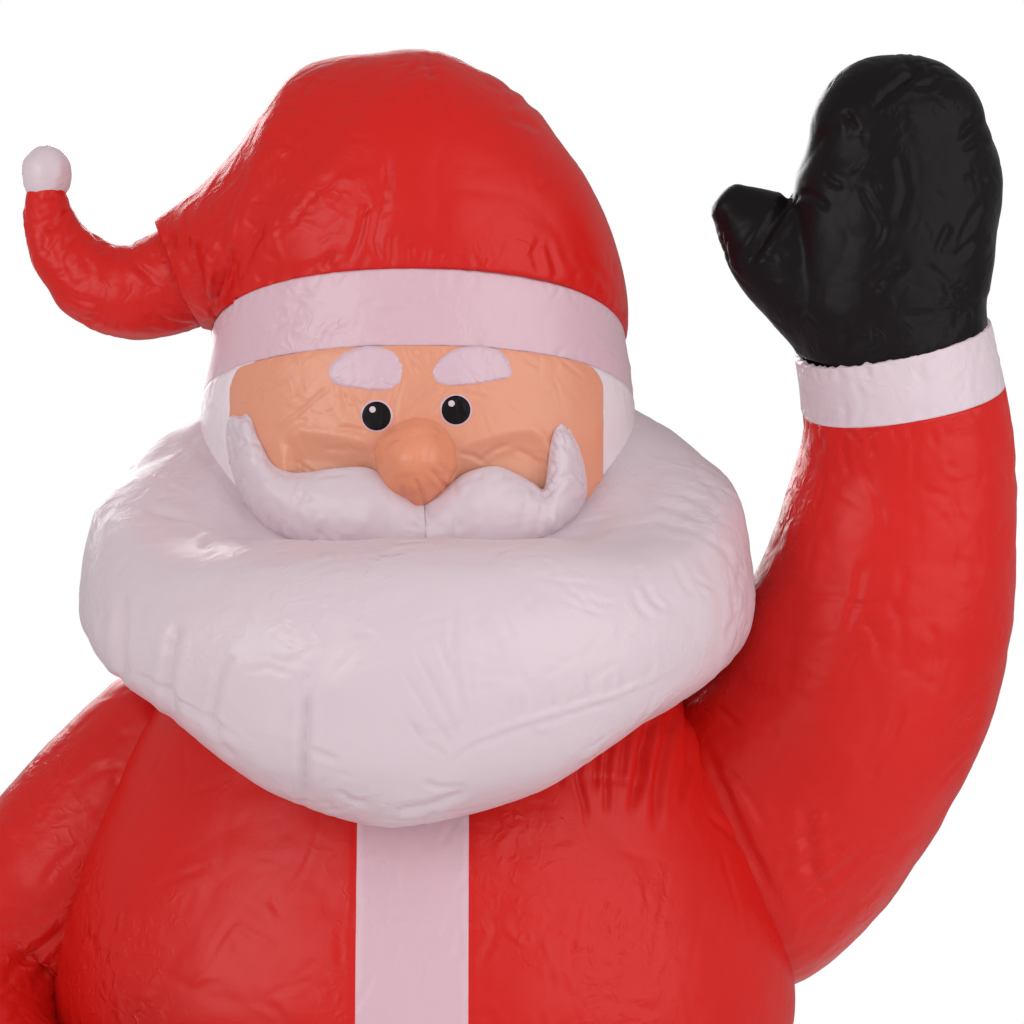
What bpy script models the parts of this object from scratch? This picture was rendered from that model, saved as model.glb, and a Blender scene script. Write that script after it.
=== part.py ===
"""An inflatable Santa that waves: an air-filled figure sewn from fabric panels, on a low base pad.

Metres, +Z up. The origin is the middle of the pad's underside, and the figure faces -Y,
with its raised arm at +X. Each panel of fabric is one solid, as thick as the air behind it.
"""

import math

import bmesh
import bpy
from mathutils import Vector

# Base pad and legs
BASE_WIDTH = 1.06
BASE_DEPTH = 0.92
BASE_HEIGHT = 0.07
BASE_ROUNDING = 0.025
BOOT_HEIGHT = 0.27
BOOT_LENGTH = 0.44
BOOT_HALF_WIDTH = 0.135
BOOT_SPREAD = 0.40
SOLE_SINK = 0.012
LEG_SHOWN = 0.10
LEG_HALF_WIDTH = 0.150

# Coat
COAT_HEIGHT = 1.14
COAT_WIDTH = 1.075
COAT_DEPTH = 0.86
COAT_SQUARENESS = 2.15
HEM_HEIGHT = 0.13
HEM_BULGE = 0.022
BELT_LEVEL = 0.37
BELT_HEIGHT = 0.105
BUCKLE_WIDTH = 0.20
BUCKLE_HEIGHT = 0.15
BUCKLE_BAR = 0.034
BUCKLE_STANDS_PROUD = 0.012
TRIM_WIDTH = 0.150
TRIM_DEPTH = 0.045

# Head and hat
HEAD_WIDTH = 0.626
HEAD_DEPTH = 0.572
HEAD_HEIGHT = 0.479
NECK_SUNK = 0.08
FACE_WIDTH = 0.520
FACE_ROUNDING = 0.022
FACE_BEND = 0.275
FACE_SLANT = 0.40
BAND_FRONT_HEIGHT = 0.107
BAND_TOP_TILT = math.radians(17.0)
BAND_FOOT_TILT = math.radians(13.5)
CROWN_HEIGHT = 0.416
TAIL_RADIUS = 0.076
POMPOM_HALF_WIDTH = 0.0365
POMPOM_HALF_HEIGHT = 0.0365

# Face
NOSE_HALF_WIDTH = 0.0605
NOSE_HALF_HEIGHT = 0.0615
NOSE_HALF_DEPTH = 0.0760
NOSE_LEVEL = 0.299
NOSE_OFFSET = -0.003
EYE_DIAMETER = 0.041
LEFT_EYE = (-0.051, 0.361)
RIGHT_EYE = (0.057, 0.370)
PATCH_THICKNESS = 0.0020
LEFT_BROW_WIDTH = 0.103
LEFT_BROW_HEIGHT = 0.062
LEFT_BROW = (-0.069, 0.427)
RIGHT_BROW_WIDTH = 0.111
RIGHT_BROW_HEIGHT = 0.055
RIGHT_BROW = (0.078, 0.428)
MOUSTACHE_LEVEL = 0.212

# Beard
BEARD_WIDTH = 0.934
BEARD_REACH = 0.615
BEARD_HEIGHT = 0.555
BEARD_DROP = 0.185
BEARD_TIP_TURN = math.radians(-3.0)
BEARD_LEAN = 0.012

# Arms
CUFF_LENGTH = 0.103
ARM_RADIUS = 0.217
LOWERED_ARM_RADIUS = 0.172
SHOULDER_DOME = 0.10

# Fits: neighbouring panels keep this gap, and patches lie this far off what they are sewn to
SEAM_GAP = 0.0008
PATCH_GAP = 0.0004

# Roundness of the faceted solids
AROUND_BODY = 28
AROUND_HEAD = 26
AROUND_LIMB = 16
AROUND_SMALL = 10

COLOURS = {
    "red_fabric": (0.53, 0.022, 0.018),
    "white_fabric": (0.66, 0.52, 0.56),
    "black_fabric": (0.013, 0.011, 0.013),
    "skin_fabric": (0.72, 0.33, 0.22),
    "nose_fabric": (0.74, 0.29, 0.17),
    "gold_fabric": (0.72, 0.42, 0.06),
}
ROUGHNESS = 0.5

# Levels, from the floor up
LEG_FOOT = BASE_HEIGHT + BOOT_HEIGHT
HEM_FOOT = LEG_FOOT + LEG_SHOWN
BELT_FOOT = HEM_FOOT + BELT_LEVEL
NECK_LEVEL = HEM_FOOT + COAT_HEIGHT - NECK_SUNK
BAND_TOP = NECK_LEVEL + HEAD_HEIGHT
HAT_LEVEL = BAND_TOP + BAND_FRONT_HEIGHT  # the head's form is drawn up to here and cut at the band
CHIN_LEVEL = NECK_LEVEL - BEARD_DROP

X_AXIS = Vector((1.0, 0.0, 0.0))
Y_AXIS = Vector((0.0, 1.0, 0.0))
Z_AXIS = Vector((0.0, 0.0, 1.0))
REACH = 3.0  # longer than the figure, for cutters that pass right through it


def clear_scene():
    for obj in list(bpy.data.objects):
        bpy.data.objects.remove(obj)


def new_collection(name):
    collection = bpy.data.collections.new(name)
    bpy.context.scene.collection.children.link(collection)
    return collection


def fabric(slot):
    """The fabric's material, made once."""
    material = bpy.data.materials.get(slot)
    if material is None:
        material = bpy.data.materials.new(slot)
        material.use_nodes = True
        shader = material.node_tree.nodes["Principled BSDF"]
        shader.inputs["Base Color"].default_value = (*COLOURS[slot], 1.0)
        shader.inputs["Roughness"].default_value = ROUGHNESS
        shader.inputs["Metallic"].default_value = 0.0
    return material


def between(points, share):
    """The point at this share of the way along a smooth curve through points."""
    place = min(max(share, 0.0), 1.0) * (len(points) - 1)
    i = min(int(place), len(points) - 2)
    t = place - i
    before = points[max(i - 1, 0)]
    start, end = points[i], points[i + 1]
    after = points[min(i + 2, len(points) - 1)]
    return tuple(
        0.5 * (2 * b + (c - a) * t + (2 * a - 5 * b + 4 * c - d) * t * t + (3 * b - a - 3 * c + d) * t**3)
        for a, b, c, d in zip(before, start, end, after)
    )


def at_key(table, key):
    """A table's values at this value of its first column, read from the smooth curve through its rows."""
    rows = len(table) - 1
    i = next((n for n in range(rows) if key <= table[n + 1][0]), rows - 1)
    share = (key - table[i][0]) / (table[i + 1][0] - table[i][0])
    return between(table, (i + min(max(share, 0.0), 1.0)) / rows)[1:]


def closed_curve(points, count):
    """This many points, evenly shared out on the smooth closed curve through points."""
    n = len(points)
    wrapped = [points[i % n] for i in range(-3, n + 4)]
    return [between(wrapped, (3 + n * k / count) / (len(wrapped) - 1)) for k in range(count)]


def superellipse(angle, half_width, half_depth, squareness=2.2):
    """A point of a rounded oval, squarer than an ellipse where squareness is over 2."""
    c, s = math.cos(angle), math.sin(angle)
    power = 2.0 / squareness
    return (
        half_width * math.copysign(abs(c) ** power, c),
        half_depth * math.copysign(abs(s) ** power, s),
    )


def link(name, mesh, slot=None):
    """Links a mesh as a shown part made of a fabric, or with no slot as a hidden form for cutting."""
    obj = bpy.data.objects.new(name, mesh)
    if slot is None:
        FORMS.objects.link(obj)
        obj.hide_render = True
        obj.display_type = "WIRE"
    else:
        PARTS.objects.link(obj)
        mesh.materials.append(fabric(slot))
        mesh.shade_smooth()
        mesh.set_sharp_from_angle(angle=math.radians(40))
    return obj


def loft(name, rings, slot=None):
    """A closed solid skinned over rings of points, each end closed by a fan round its middle."""
    bm = bmesh.new()
    loops = [[bm.verts.new(point) for point in ring] for ring in rings]
    count = len(rings[0])
    for low, high in zip(loops, loops[1:]):
        for i in range(count):
            j = (i + 1) % count
            bm.faces.new((low[i], low[j], high[j], high[i]))
    for loop in (loops[0], loops[-1]):
        middle = bm.verts.new(sum((v.co for v in loop), Vector()) / count)
        for i in range(count):
            bm.faces.new((loop[i], loop[(i + 1) % count], middle))
    bmesh.ops.recalc_face_normals(bm, faces=bm.faces)
    bmesh.ops.triangulate(bm, faces=bm.faces)
    mesh = bpy.data.meshes.new(name)
    bm.to_mesh(mesh)
    bm.free()
    return link(name, mesh, slot)


def cross_section(centre, tangent, depth_hint, half_width, half_depth, around):
    """A ring square to the tangent, whose depth runs along depth_hint as nearly as it can."""
    depth = (depth_hint - tangent * depth_hint.dot(tangent)).normalized()
    side = depth.cross(tangent)
    ring = []
    for k in range(around):
        u, v = superellipse(2 * math.pi * k / around, half_width, half_depth)
        ring.append(centre + side * u + depth * v)
    return ring


def swept_rings(
    stations, share_from, share_to, steps, around, depth_hint=Y_AXIS, start_dome=0.0, end_dome=0.0
):
    """Rings along the smooth path through stations of (x, y, z, half width, half depth).

    A dome of a given length rounds an end off.
    """
    nudge = 0.01
    rings = []
    for k in range(steps + 1):
        share = share_from + (share_to - share_from) * k / steps
        x, y, z, half_width, half_depth = between(stations, share)
        ahead = Vector(between(stations, min(share + nudge, 1.0))[:3])
        behind = Vector(between(stations, max(share - nudge, 0.0))[:3])
        rings.append((Vector((x, y, z)), (ahead - behind).normalized(), half_width, half_depth))
    for dome, end, way in ((start_dome, 0, -1.0), (end_dome, -1, 1.0)):
        if not dome:
            continue
        centre, tangent, half_width, half_depth = rings[end]
        for turn in (30.0, 55.0, 75.0):
            c, s = math.cos(math.radians(turn)), math.sin(math.radians(turn))
            ring = (centre + tangent * (way * dome * s), tangent, half_width * c, half_depth * c)
            rings.insert(0 if way < 0 else len(rings), ring)
    return [cross_section(c, t, depth_hint, w, d, around) for c, t, w, d in rings]


def grown(source, by):
    """A cutter of a form's shape with its surface moved out by this much."""
    cutter = bpy.data.objects.new(f"{source.name}_grown_{round(by * 1e4)}", source.data)
    FORMS.objects.link(cutter)
    cutter.hide_render = True
    cutter.display_type = "WIRE"
    grow = cutter.modifiers.new("grow", "DISPLACE")
    grow.strength = by
    grow.mid_level = 0.0
    return cutter


def boolean(obj, cutter, operation="DIFFERENCE"):
    modifier = obj.modifiers.new(f"{operation.lower()}_{cutter.name}", "BOOLEAN")
    modifier.operation = operation
    modifier.object = cutter


def block(name, low, high, slot=None):
    """A box between two corners."""
    bpy.ops.mesh.primitive_cube_add(size=1.0)
    made = bpy.context.object
    mesh = made.data
    bpy.data.objects.remove(made)
    for vertex in mesh.vertices:
        vertex.co = [lo + (hi - lo) * (c + 0.5) for lo, hi, c in zip(low, high, vertex.co)]
    return link(name, mesh, slot)


def prism(name, outline, y_from, y_to):
    """A hidden form: a flat outline of (x, z) points, pushed along Y."""
    curve = bpy.data.curves.new(name, "CURVE")
    curve.dimensions = "2D"
    curve.fill_mode = "BOTH"
    curve.extrude = (y_to - y_from) / 2
    spline = curve.splines.new("POLY")
    spline.points.add(len(outline) - 1)
    for point, (x, z) in zip(spline.points, outline):
        point.co = (x, z, 0.0, 1.0)
    spline.use_cyclic_u = True
    drawn = bpy.data.objects.new(name, curve)
    drawn.location = (0.0, (y_from + y_to) / 2, 0.0)
    drawn.rotation_euler = (math.pi / 2, 0.0, 0.0)
    bpy.context.scene.collection.objects.link(drawn)
    bpy.context.view_layer.update()
    mesh = bpy.data.meshes.new_from_object(drawn.evaluated_get(bpy.context.evaluated_depsgraph_get()))
    mesh.transform(drawn.matrix_world)
    bpy.data.objects.remove(drawn)
    bm = bmesh.new()
    bm.from_mesh(mesh)
    bmesh.ops.remove_doubles(bm, verts=bm.verts, dist=1e-6)
    bmesh.ops.recalc_face_normals(bm, faces=bm.faces)
    bm.to_mesh(mesh)
    bm.free()
    return link(name, mesh)


def ellipsoid(name, centre, half_sizes, slot):
    """A ball stretched to these half sizes along X, Y and Z."""
    bpy.ops.mesh.primitive_uv_sphere_add(segments=AROUND_SMALL + 2, ring_count=8, radius=1.0)
    made = bpy.context.object
    mesh = made.data
    bpy.data.objects.remove(made)
    for vertex in mesh.vertices:
        vertex.co = Vector(centre) + Vector(c * half for c, half in zip(vertex.co, half_sizes))
    return link(name, mesh, slot)


# Level above the hem as a share of the coat's height, then width and depth as shares of the coat's own
COAT_PROFILE = (
    (0.00, 0.900, 0.930),
    (0.10, 0.935, 0.955),
    (0.22, 0.965, 0.975),
    (0.32, 0.968, 0.975),
    (0.37, 0.955, 0.965),
    (0.42, 0.965, 0.975),
    (0.50, 1.000, 1.000),
    (0.58, 0.987, 0.985),
    (0.67, 0.935, 0.930),
    (0.77, 0.842, 0.850),
    (0.86, 0.738, 0.755),
    (0.93, 0.630, 0.650),
    (1.00, 0.500, 0.520),
)


def coat_ring(level, bulge=0.0):
    """The coat's outline at a height above the floor, grown by a bulge."""
    width, depth = at_key(COAT_PROFILE, (level - HEM_FOOT) / COAT_HEIGHT)
    half_width = COAT_WIDTH / 2 * width + bulge
    half_depth = COAT_DEPTH / 2 * depth + bulge
    ring = []
    for k in range(AROUND_BODY):
        x, y = superellipse(2 * math.pi * k / AROUND_BODY, half_width, half_depth, COAT_SQUARENESS)
        ring.append(Vector((x, y, level)))
    return ring


def coat_rings(low, high, steps):
    return [coat_ring(low + (high - low) * k / steps) for k in range(steps + 1)]


def coat_front(level):
    """How far forward the coat reaches at a height."""
    return COAT_DEPTH / 2 * at_key(COAT_PROFILE, (level - HEM_FOOT) / COAT_HEIGHT)[1]


def make_base():
    """A low oval pad with rounded edges."""
    bpy.ops.mesh.primitive_cylinder_add(vertices=AROUND_BODY, radius=0.5, depth=BASE_HEIGHT)
    made = bpy.context.object
    mesh = made.data
    bpy.data.objects.remove(made)
    for vertex in mesh.vertices:
        x, y, z = vertex.co
        vertex.co = (x * BASE_WIDTH, y * BASE_DEPTH, z + BASE_HEIGHT / 2)
    base = link("base_pad", mesh, "white_fabric")
    rounding = base.modifiers.new("rounded_edges", "BEVEL")
    rounding.width = min(BASE_ROUNDING, BASE_HEIGHT * 0.45)
    rounding.segments = 2
    rounding.limit_method = "ANGLE"
    return base


def make_leg(side, way):
    """A boot and the short length of trouser over it."""
    x = way * BOOT_SPREAD / 2
    sole = BASE_HEIGHT - SOLE_SINK
    heel = 0.10
    toe = heel - BOOT_LENGTH
    width = BOOT_HALF_WIDTH
    stations = (
        (x, 0.0, LEG_FOOT + 0.03, width * 0.98, width * 0.98),
        (x, 0.0, LEG_FOOT - BOOT_HEIGHT * 0.30, width * 0.96, width * 0.96),
        (x, -0.02, sole + BOOT_HEIGHT * 0.42, width, width * 1.00),
        (x, toe * 0.42, sole + BOOT_HEIGHT * 0.27, width * 1.02, BOOT_HEIGHT * 0.42),
        (x, toe * 0.74, sole + BOOT_HEIGHT * 0.22, width * 0.98, BOOT_HEIGHT * 0.36),
    )
    flipped = tuple((px, py, pz, depth, across) for px, py, pz, across, depth in stations)
    rings = swept_rings(flipped, 0.0, 1.0, 5, AROUND_LIMB, X_AXIS, end_dome=-toe * 0.24)
    boot = loft(f"{side}_boot", rings, "black_fabric")
    boolean(boot, slab(f"{side}_boot_floor", -REACH, BASE_HEIGHT + SEAM_GAP))
    boolean(boot, slab(f"{side}_boot_top", LEG_FOOT, REACH))
    top = HEM_FOOT - SEAM_GAP
    leg_rings = []
    for level, share in ((LEG_FOOT + SEAM_GAP, 0.93), (LEG_FOOT + LEG_SHOWN * 0.3, 1.0), (top, 1.02)):
        radius = LEG_HALF_WIDTH * share
        centre = Vector((x, 0.0, level))
        leg_rings.append(cross_section(centre, Z_AXIS, Y_AXIS, radius, radius, AROUND_LIMB))
    loft(f"{side}_leg", leg_rings, "red_fabric")


def slab(name, low, high, low_tilt=0.0, high_tilt=0.0):
    """A hidden form that fills the space between two levels, each tilted up at the front."""
    rings = []
    for level, tilt in ((low, low_tilt), (high, high_tilt)):
        rise = math.tan(tilt)
        corners = ((-REACH, -REACH), (REACH, -REACH), (REACH, REACH), (-REACH, REACH))
        rings.append([Vector((x, y, level - y * rise)) for x, y in corners])
    return loft(name, rings)


def section(name, whole, low, high, slot, low_tilt=0.0, high_tilt=0.0):
    """The part of a form that lies between two levels."""
    obj = link(name, whole.data.copy(), slot)
    boolean(obj, slab(f"{name}_slab", low, high, low_tilt, high_tilt), "INTERSECT")
    return obj


def make_coat():
    """The coat from its fur hem to the neck, split at the belt, with a trim panel down the front."""
    hem_top = HEM_FOOT + HEM_HEIGHT
    half = SEAM_GAP / 2
    hem_rings = [
        coat_ring(HEM_FOOT + HEM_HEIGHT * share, HEM_BULGE * bulge)
        for share, bulge in ((0.0, -0.6), (0.16, 0.55), (0.5, 1.0), (0.84, 0.6), (1.0, -0.2))
    ]
    loft("coat_hem", hem_rings, "white_fabric")
    belt_top = BELT_FOOT + BELT_HEIGHT
    neck = HEM_FOOT + COAT_HEIGHT
    whole = loft("coat_form", coat_rings(HEM_FOOT, neck, 14))
    skirt = section("coat_skirt", whole, hem_top + SEAM_GAP, BELT_FOOT - half, "red_fabric")
    section("belt", whole, BELT_FOOT + half, belt_top - half, "black_fabric")
    body = section("coat_body", whole, belt_top + half, REACH, "red_fabric")
    inner = grown(whole, -TRIM_DEPTH)
    inner_gap = grown(whole, -TRIM_DEPTH - SEAM_GAP)
    spans = (
        ("coat_trim", body, belt_top + half, neck - TRIM_DEPTH * 1.3),
        ("skirt_trim", skirt, hem_top + SEAM_GAP, BELT_FOOT - half),
    )
    for name, behind, low, high in spans:
        edge = TRIM_WIDTH / 2
        trim = section(name, whole, low, high, "white_fabric")
        boolean(trim, block(f"{name}_front", (-edge, -REACH, -REACH), (edge, 0.0, REACH)), "INTERSECT")
        boolean(trim, inner)
        slot_top = high + SEAM_GAP if name == "coat_trim" else REACH
        slot = block(f"{name}_slot", (-edge - SEAM_GAP, -REACH, 0.0), (edge + SEAM_GAP, 0.0, slot_top))
        boolean(slot, inner_gap)
        boolean(behind, slot)
    make_buckle(grown(whole, SEAM_GAP * 2))
    return whole


def make_buckle(seat):
    """A plain square buckle frame on the front of the belt."""
    middle = BELT_FOOT + BELT_HEIGHT / 2
    front = -coat_front(middle)
    low = (-BUCKLE_WIDTH / 2, front - BUCKLE_STANDS_PROUD, middle - BUCKLE_HEIGHT / 2)
    high = (BUCKLE_WIDTH / 2, front + BUCKLE_STANDS_PROUD * 2, middle + BUCKLE_HEIGHT / 2)
    buckle = block("belt_buckle", low, high, "gold_fabric")
    window = block(
        "buckle_window",
        (low[0] + BUCKLE_BAR, -REACH, low[2] + BUCKLE_BAR),
        (high[0] - BUCKLE_BAR, REACH, high[2] - BUCKLE_BAR),
    )
    boolean(buckle, window)
    boolean(buckle, seat)


# Level above the neck as a share of the head's height, then width and depth as shares of the head's own
HEAD_PROFILE = (
    (0.00, 0.84, 0.88),
    (0.25, 0.96, 0.96),
    (0.52, 0.998, 0.995),
    (0.78, 1.000, 1.000),
    (1.00, 0.956, 0.975),
    (1.30, 0.940, 0.960),
)


def head_ring(level, tilt, lift=0.0):
    """The head's outline where a plane, tilted up at the front, crosses its axis at this level."""
    rise = math.tan(tilt)
    ring = []
    for k in range(AROUND_HEAD):
        angle = 2 * math.pi * k / AROUND_HEAD
        z = level
        for _ in range(3):
            width, depth = at_key(HEAD_PROFILE, (z - NECK_LEVEL) / HEAD_HEIGHT)
            x, y = superellipse(angle, HEAD_WIDTH / 2 * width, HEAD_DEPTH / 2 * depth)
            z = level - y * rise
        ring.append(Vector((x, y, z + lift)))
    return ring


def band_foot_level():
    """The level of the hat band's lower edge at the side of the head."""
    front = HEAD_DEPTH / 2 * 0.98
    front_top = BAND_TOP + front * math.tan(BAND_TOP_TILT)
    return front_top - BAND_FRONT_HEIGHT - front * math.tan(BAND_FOOT_TILT)


def head_rings(low, low_tilt, high, high_tilt, steps):
    rings = []
    for k in range(steps + 1):
        share = k / steps
        rings.append(head_ring(low + (high - low) * share, low_tilt + (high_tilt - low_tilt) * share))
    return rings


# The crown's outline in front view as it bends over: across from the head's axis as a share of the head's
# half width, and up from the band as a share of the crown's height, then the half depth there
CROWN_OUTLINE = (
    (0.956, 0.000, 0.975),
    (0.940, 0.170, 0.980),
    (0.860, 0.392, 0.985),
    (0.710, 0.603, 0.970),
    (0.497, 0.806, 0.940),
    (0.224, 0.950, 0.880),
    (0.000, 1.000, 0.815),
    (-0.255, 0.992, 0.740),
    (-0.515, 0.952, 0.665),
    (-0.668, 0.826, 0.590),
    (-0.843, 0.652, 0.515),
    (-1.045, 0.520, 0.420),
    (-1.215, 0.420, 0.300),
)
CROWN_PIVOT_FROM = (-0.956, 0.000)
CROWN_PIVOT_TO = (-1.010, 0.050)


def crown_ring(share):
    """A section of the crown, which fans round the crease where the tail hangs from it."""
    across, up, deep = between(CROWN_OUTLINE, share)
    sunk = 0.055 * math.sin(math.pi * share)
    pivot = [a + (b - a) * share for a, b in zip(CROWN_PIVOT_FROM, CROWN_PIVOT_TO)]
    pivot[0] += sunk
    half_head = HEAD_WIDTH / 2
    tilt = math.tan(BAND_TOP_TILT) * (1.0 - share) ** 1.2
    ring = []
    for k in range(AROUND_HEAD):
        u, v = superellipse(2 * math.pi * k / AROUND_HEAD, 1.0, 1.0)
        reach = (1.0 + u) / 2
        x = (pivot[0] + (across - pivot[0]) * reach) * half_head
        z = BAND_TOP + (pivot[1] + (up - pivot[1]) * reach) * CROWN_HEIGHT
        y = v * deep * HEAD_DEPTH / 2
        ring.append(Vector((x, y, z - y * tilt)))
    return ring


def tail_stations():
    """The hat's tail, which drops from the fold in the crown and curls up to the pompom."""
    start_x = -(1.010 + 1.205) / 4 * HEAD_WIDTH
    start_z = BAND_TOP + (0.050 + 0.400) / 2 * CROWN_HEIGHT
    shape = (
        (0.000, 0.000, 1.00),
        (-0.063, -0.023, 0.92),
        (-0.122, -0.008, 0.82),
        (-0.168, 0.038, 0.66),
        (-0.191, 0.090, 0.49),
        (-0.196, 0.130, 0.40),
    )
    return [
        (start_x + x, 0.0, start_z + z, TAIL_RADIUS * share, TAIL_RADIUS * share)
        for x, z, share in shape
    ]


def make_hat(head_form):
    half = SEAM_GAP / 2
    foot = band_foot_level() + half
    section("hat_band", head_form, foot, BAND_TOP - half, "white_fabric", BAND_FOOT_TILT, BAND_TOP_TILT)
    crown_steps = 13
    crown = [head_ring(BAND_TOP, BAND_TOP_TILT, lift=half)]
    crown += [crown_ring(k / crown_steps) for k in range(1, crown_steps + 1)]
    crown_form = loft("hat_crown", crown, "red_fabric")
    stations = tail_stations()
    tail = loft("hat_tail", swept_rings(stations, 0.0, 1.0, 8, AROUND_LIMB, start_dome=0.03), "red_fabric")
    boolean(tail, grown(crown_form, SEAM_GAP))
    end = Vector(stations[-1][:3])
    centre = end + Vector((0.0, 0.0, POMPOM_HALF_HEIGHT * 0.70))
    sizes = (POMPOM_HALF_WIDTH, POMPOM_HALF_WIDTH, POMPOM_HALF_HEIGHT)
    pompom = ellipsoid("hat_pompom", centre, sizes, "white_fabric")
    boolean(tail, grown(pompom, SEAM_GAP))


def rounded_arch(half_width, foot, bend, top, rounding, steps=5):
    """An outline that narrows below the bend and has rounded upper corners, counter-clockwise."""
    foot_half_width = half_width - (bend - foot) * FACE_SLANT
    outline = [(-foot_half_width, foot), (foot_half_width, foot), (half_width, bend)]
    for way, turn_from in ((1, 0.0), (-1, 90.0)):
        for k in range(steps + 1):
            turn = math.radians(turn_from + 90.0 * k / steps)
            x = way * (half_width - rounding) + rounding * math.cos(turn)
            outline.append((x, top - rounding + rounding * math.sin(turn)))
    outline.append((-half_width, bend))
    return outline


def make_head():
    """The face panel at the front of the head, and the hair panel round its sides and back."""
    top = band_foot_level()
    whole = loft("head_form", head_rings(NECK_LEVEL, 0.0, HAT_LEVEL, BAND_TOP_TILT, 13))
    under_band = (NECK_LEVEL - 1.0, top - SEAM_GAP / 2)
    face = section("face", whole, *under_band, "skin_fabric", 0.0, BAND_FOOT_TILT)
    hair = section("hair", whole, *under_band, "white_fabric", 0.0, BAND_FOOT_TILT)
    top_corner = top + FACE_WIDTH / 2 * 0.27
    foot = NECK_LEVEL - SEAM_GAP * 2
    bend = NECK_LEVEL + FACE_BEND
    half_width = FACE_WIDTH / 2
    inside = rounded_arch(half_width, foot, bend, top_corner, FACE_ROUNDING)
    outside = rounded_arch(half_width + SEAM_GAP, foot, bend, top_corner + SEAM_GAP, FACE_ROUNDING)
    boolean(face, prism("face_opening", inside, -REACH, -SEAM_GAP), "INTERSECT")
    boolean(hair, prism("hair_opening", outside, -REACH, 0.0))
    return whole


# Each eyebrow's outline as shares of its half width and half height
LEFT_BROW_OUTLINE = (
    (-1.00, -0.13), (-0.92, -0.63), (-0.25, -0.87), (0.49, -1.00), (0.84, -0.78), (1.00, -0.13),
    (0.91, 0.43), (0.63, 0.78), (0.20, 1.00), (-0.33, 0.96), (-0.73, 0.57),
)
RIGHT_BROW_OUTLINE = (
    (-1.00, -0.15), (-0.88, -0.65), (-0.54, -0.95), (-0.16, -0.95), (0.46, -0.75), (1.00, -0.40),
    (1.00, 0.20), (0.78, 0.90), (0.33, 1.05), (-0.16, 1.00), (-0.67, 0.70),
)


def brow_outline(place, width, height, shape):
    x, z = place
    return [(x + width / 2 * u, NECK_LEVEL + z + height / 2 * v) for u, v in shape]


def eye_outline(place, count=18):
    x, z = place
    radius = EYE_DIAMETER / 2
    turns = [2 * math.pi * k / count for k in range(count)]
    return [(x + radius * math.cos(t), NECK_LEVEL + z + radius * math.sin(t)) for t in turns]


def patch(name, outline, head, slot):
    """A thin piece of fabric sewn flat on the head's front, cut to an outline."""
    obj = link(name, head["form"].data.copy(), slot)
    layer = obj.modifiers.new("layer", "DISPLACE")
    layer.strength = PATCH_THICKNESS
    layer.mid_level = 0.0
    boolean(obj, prism(f"{name}_outline", outline, -REACH, -HEAD_DEPTH / 8), "INTERSECT")
    boolean(obj, head["patch_seat"])
    boolean(obj, head["band_line"])
    return obj


def make_face(whole):
    """The nose, moustache, eyebrows and eyes, each trimmed to sit on the head."""
    seat = grown(whole, SEAM_GAP)
    head = {
        "form": whole,
        "patch_seat": grown(whole, PATCH_GAP),
        "band_line": slab("band_line", band_foot_level(), REACH, BAND_FOOT_TILT, BAND_FOOT_TILT),
    }
    nose_centre = (NOSE_OFFSET, -HEAD_DEPTH / 2 * 1.04, NECK_LEVEL + NOSE_LEVEL)
    nose_sizes = (NOSE_HALF_WIDTH, NOSE_HALF_DEPTH, NOSE_HALF_HEIGHT)
    nose = ellipsoid("nose", nose_centre, nose_sizes, "nose_fabric")
    boolean(nose, seat)
    over_nose = grown(nose, SEAM_GAP)
    boolean(patch("left_eye", eye_outline(LEFT_EYE), head, "black_fabric"), over_nose)
    boolean(patch("right_eye", eye_outline(RIGHT_EYE), head, "black_fabric"), over_nose)
    left_brow = brow_outline(LEFT_BROW, LEFT_BROW_WIDTH, LEFT_BROW_HEIGHT, LEFT_BROW_OUTLINE)
    right_brow = brow_outline(RIGHT_BROW, RIGHT_BROW_WIDTH, RIGHT_BROW_HEIGHT, RIGHT_BROW_OUTLINE)
    patch("left_eyebrow", left_brow, head, "white_fabric")
    patch("right_eyebrow", right_brow, head, "white_fabric")
    return seat, nose


def face_front(x):
    """How far forward the head reaches at this distance from its middle."""
    share = min(abs(x) / (HEAD_WIDTH / 2), 1.0)
    return -HEAD_DEPTH / 2 * (1.0 - share**2.2) ** (1 / 2.2)


# Each half of the moustache, from the middle out: across, up from the moustache's level, half height and
# stand-off
MOUSTACHE_LEFT = (
    (-0.008, 0.000, 0.038, 0.030),
    (-0.055, 0.012, 0.046, 0.038),
    (-0.110, 0.026, 0.050, 0.036),
    (-0.180, 0.040, 0.046, 0.030),
    (-0.232, 0.085, 0.032, 0.024),
    (-0.253, 0.132, 0.023, 0.018),
)
MOUSTACHE_RIGHT = (
    (0.008, 0.000, 0.038, 0.030),
    (0.055, 0.014, 0.048, 0.038),
    (0.115, 0.020, 0.052, 0.036),
    (0.180, 0.034, 0.044, 0.030),
    (0.214, 0.080, 0.030, 0.024),
    (0.210, 0.124, 0.020, 0.018),
)


def make_moustache(seat, nose, beard_form):
    middle = NECK_LEVEL + MOUSTACHE_LEVEL
    for side, shape in (("left", MOUSTACHE_LEFT), ("right", MOUSTACHE_RIGHT)):
        stations = [
            (x, face_front(x) - off * 0.45, middle + up, half_height, half_height * 0.8)
            for x, up, half_height, off in shape
        ]
        rings = swept_rings(stations, 0.0, 1.0, 7, AROUND_SMALL, end_dome=shape[-1][2])
        lobe = loft(f"{side}_moustache", rings, "white_fabric")
        boolean(lobe, seat)
        boolean(lobe, grown(nose, SEAM_GAP))
        boolean(lobe, grown(beard_form, SEAM_GAP))
        edge = SEAM_GAP / 2
        far = (-REACH, edge) if shape[0][0] > 0 else (-edge, REACH)
        beyond = block(f"{side}_moustache_middle", (far[0], -REACH, -REACH), (far[1], REACH, REACH))
        boolean(lobe, beyond)


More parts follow.
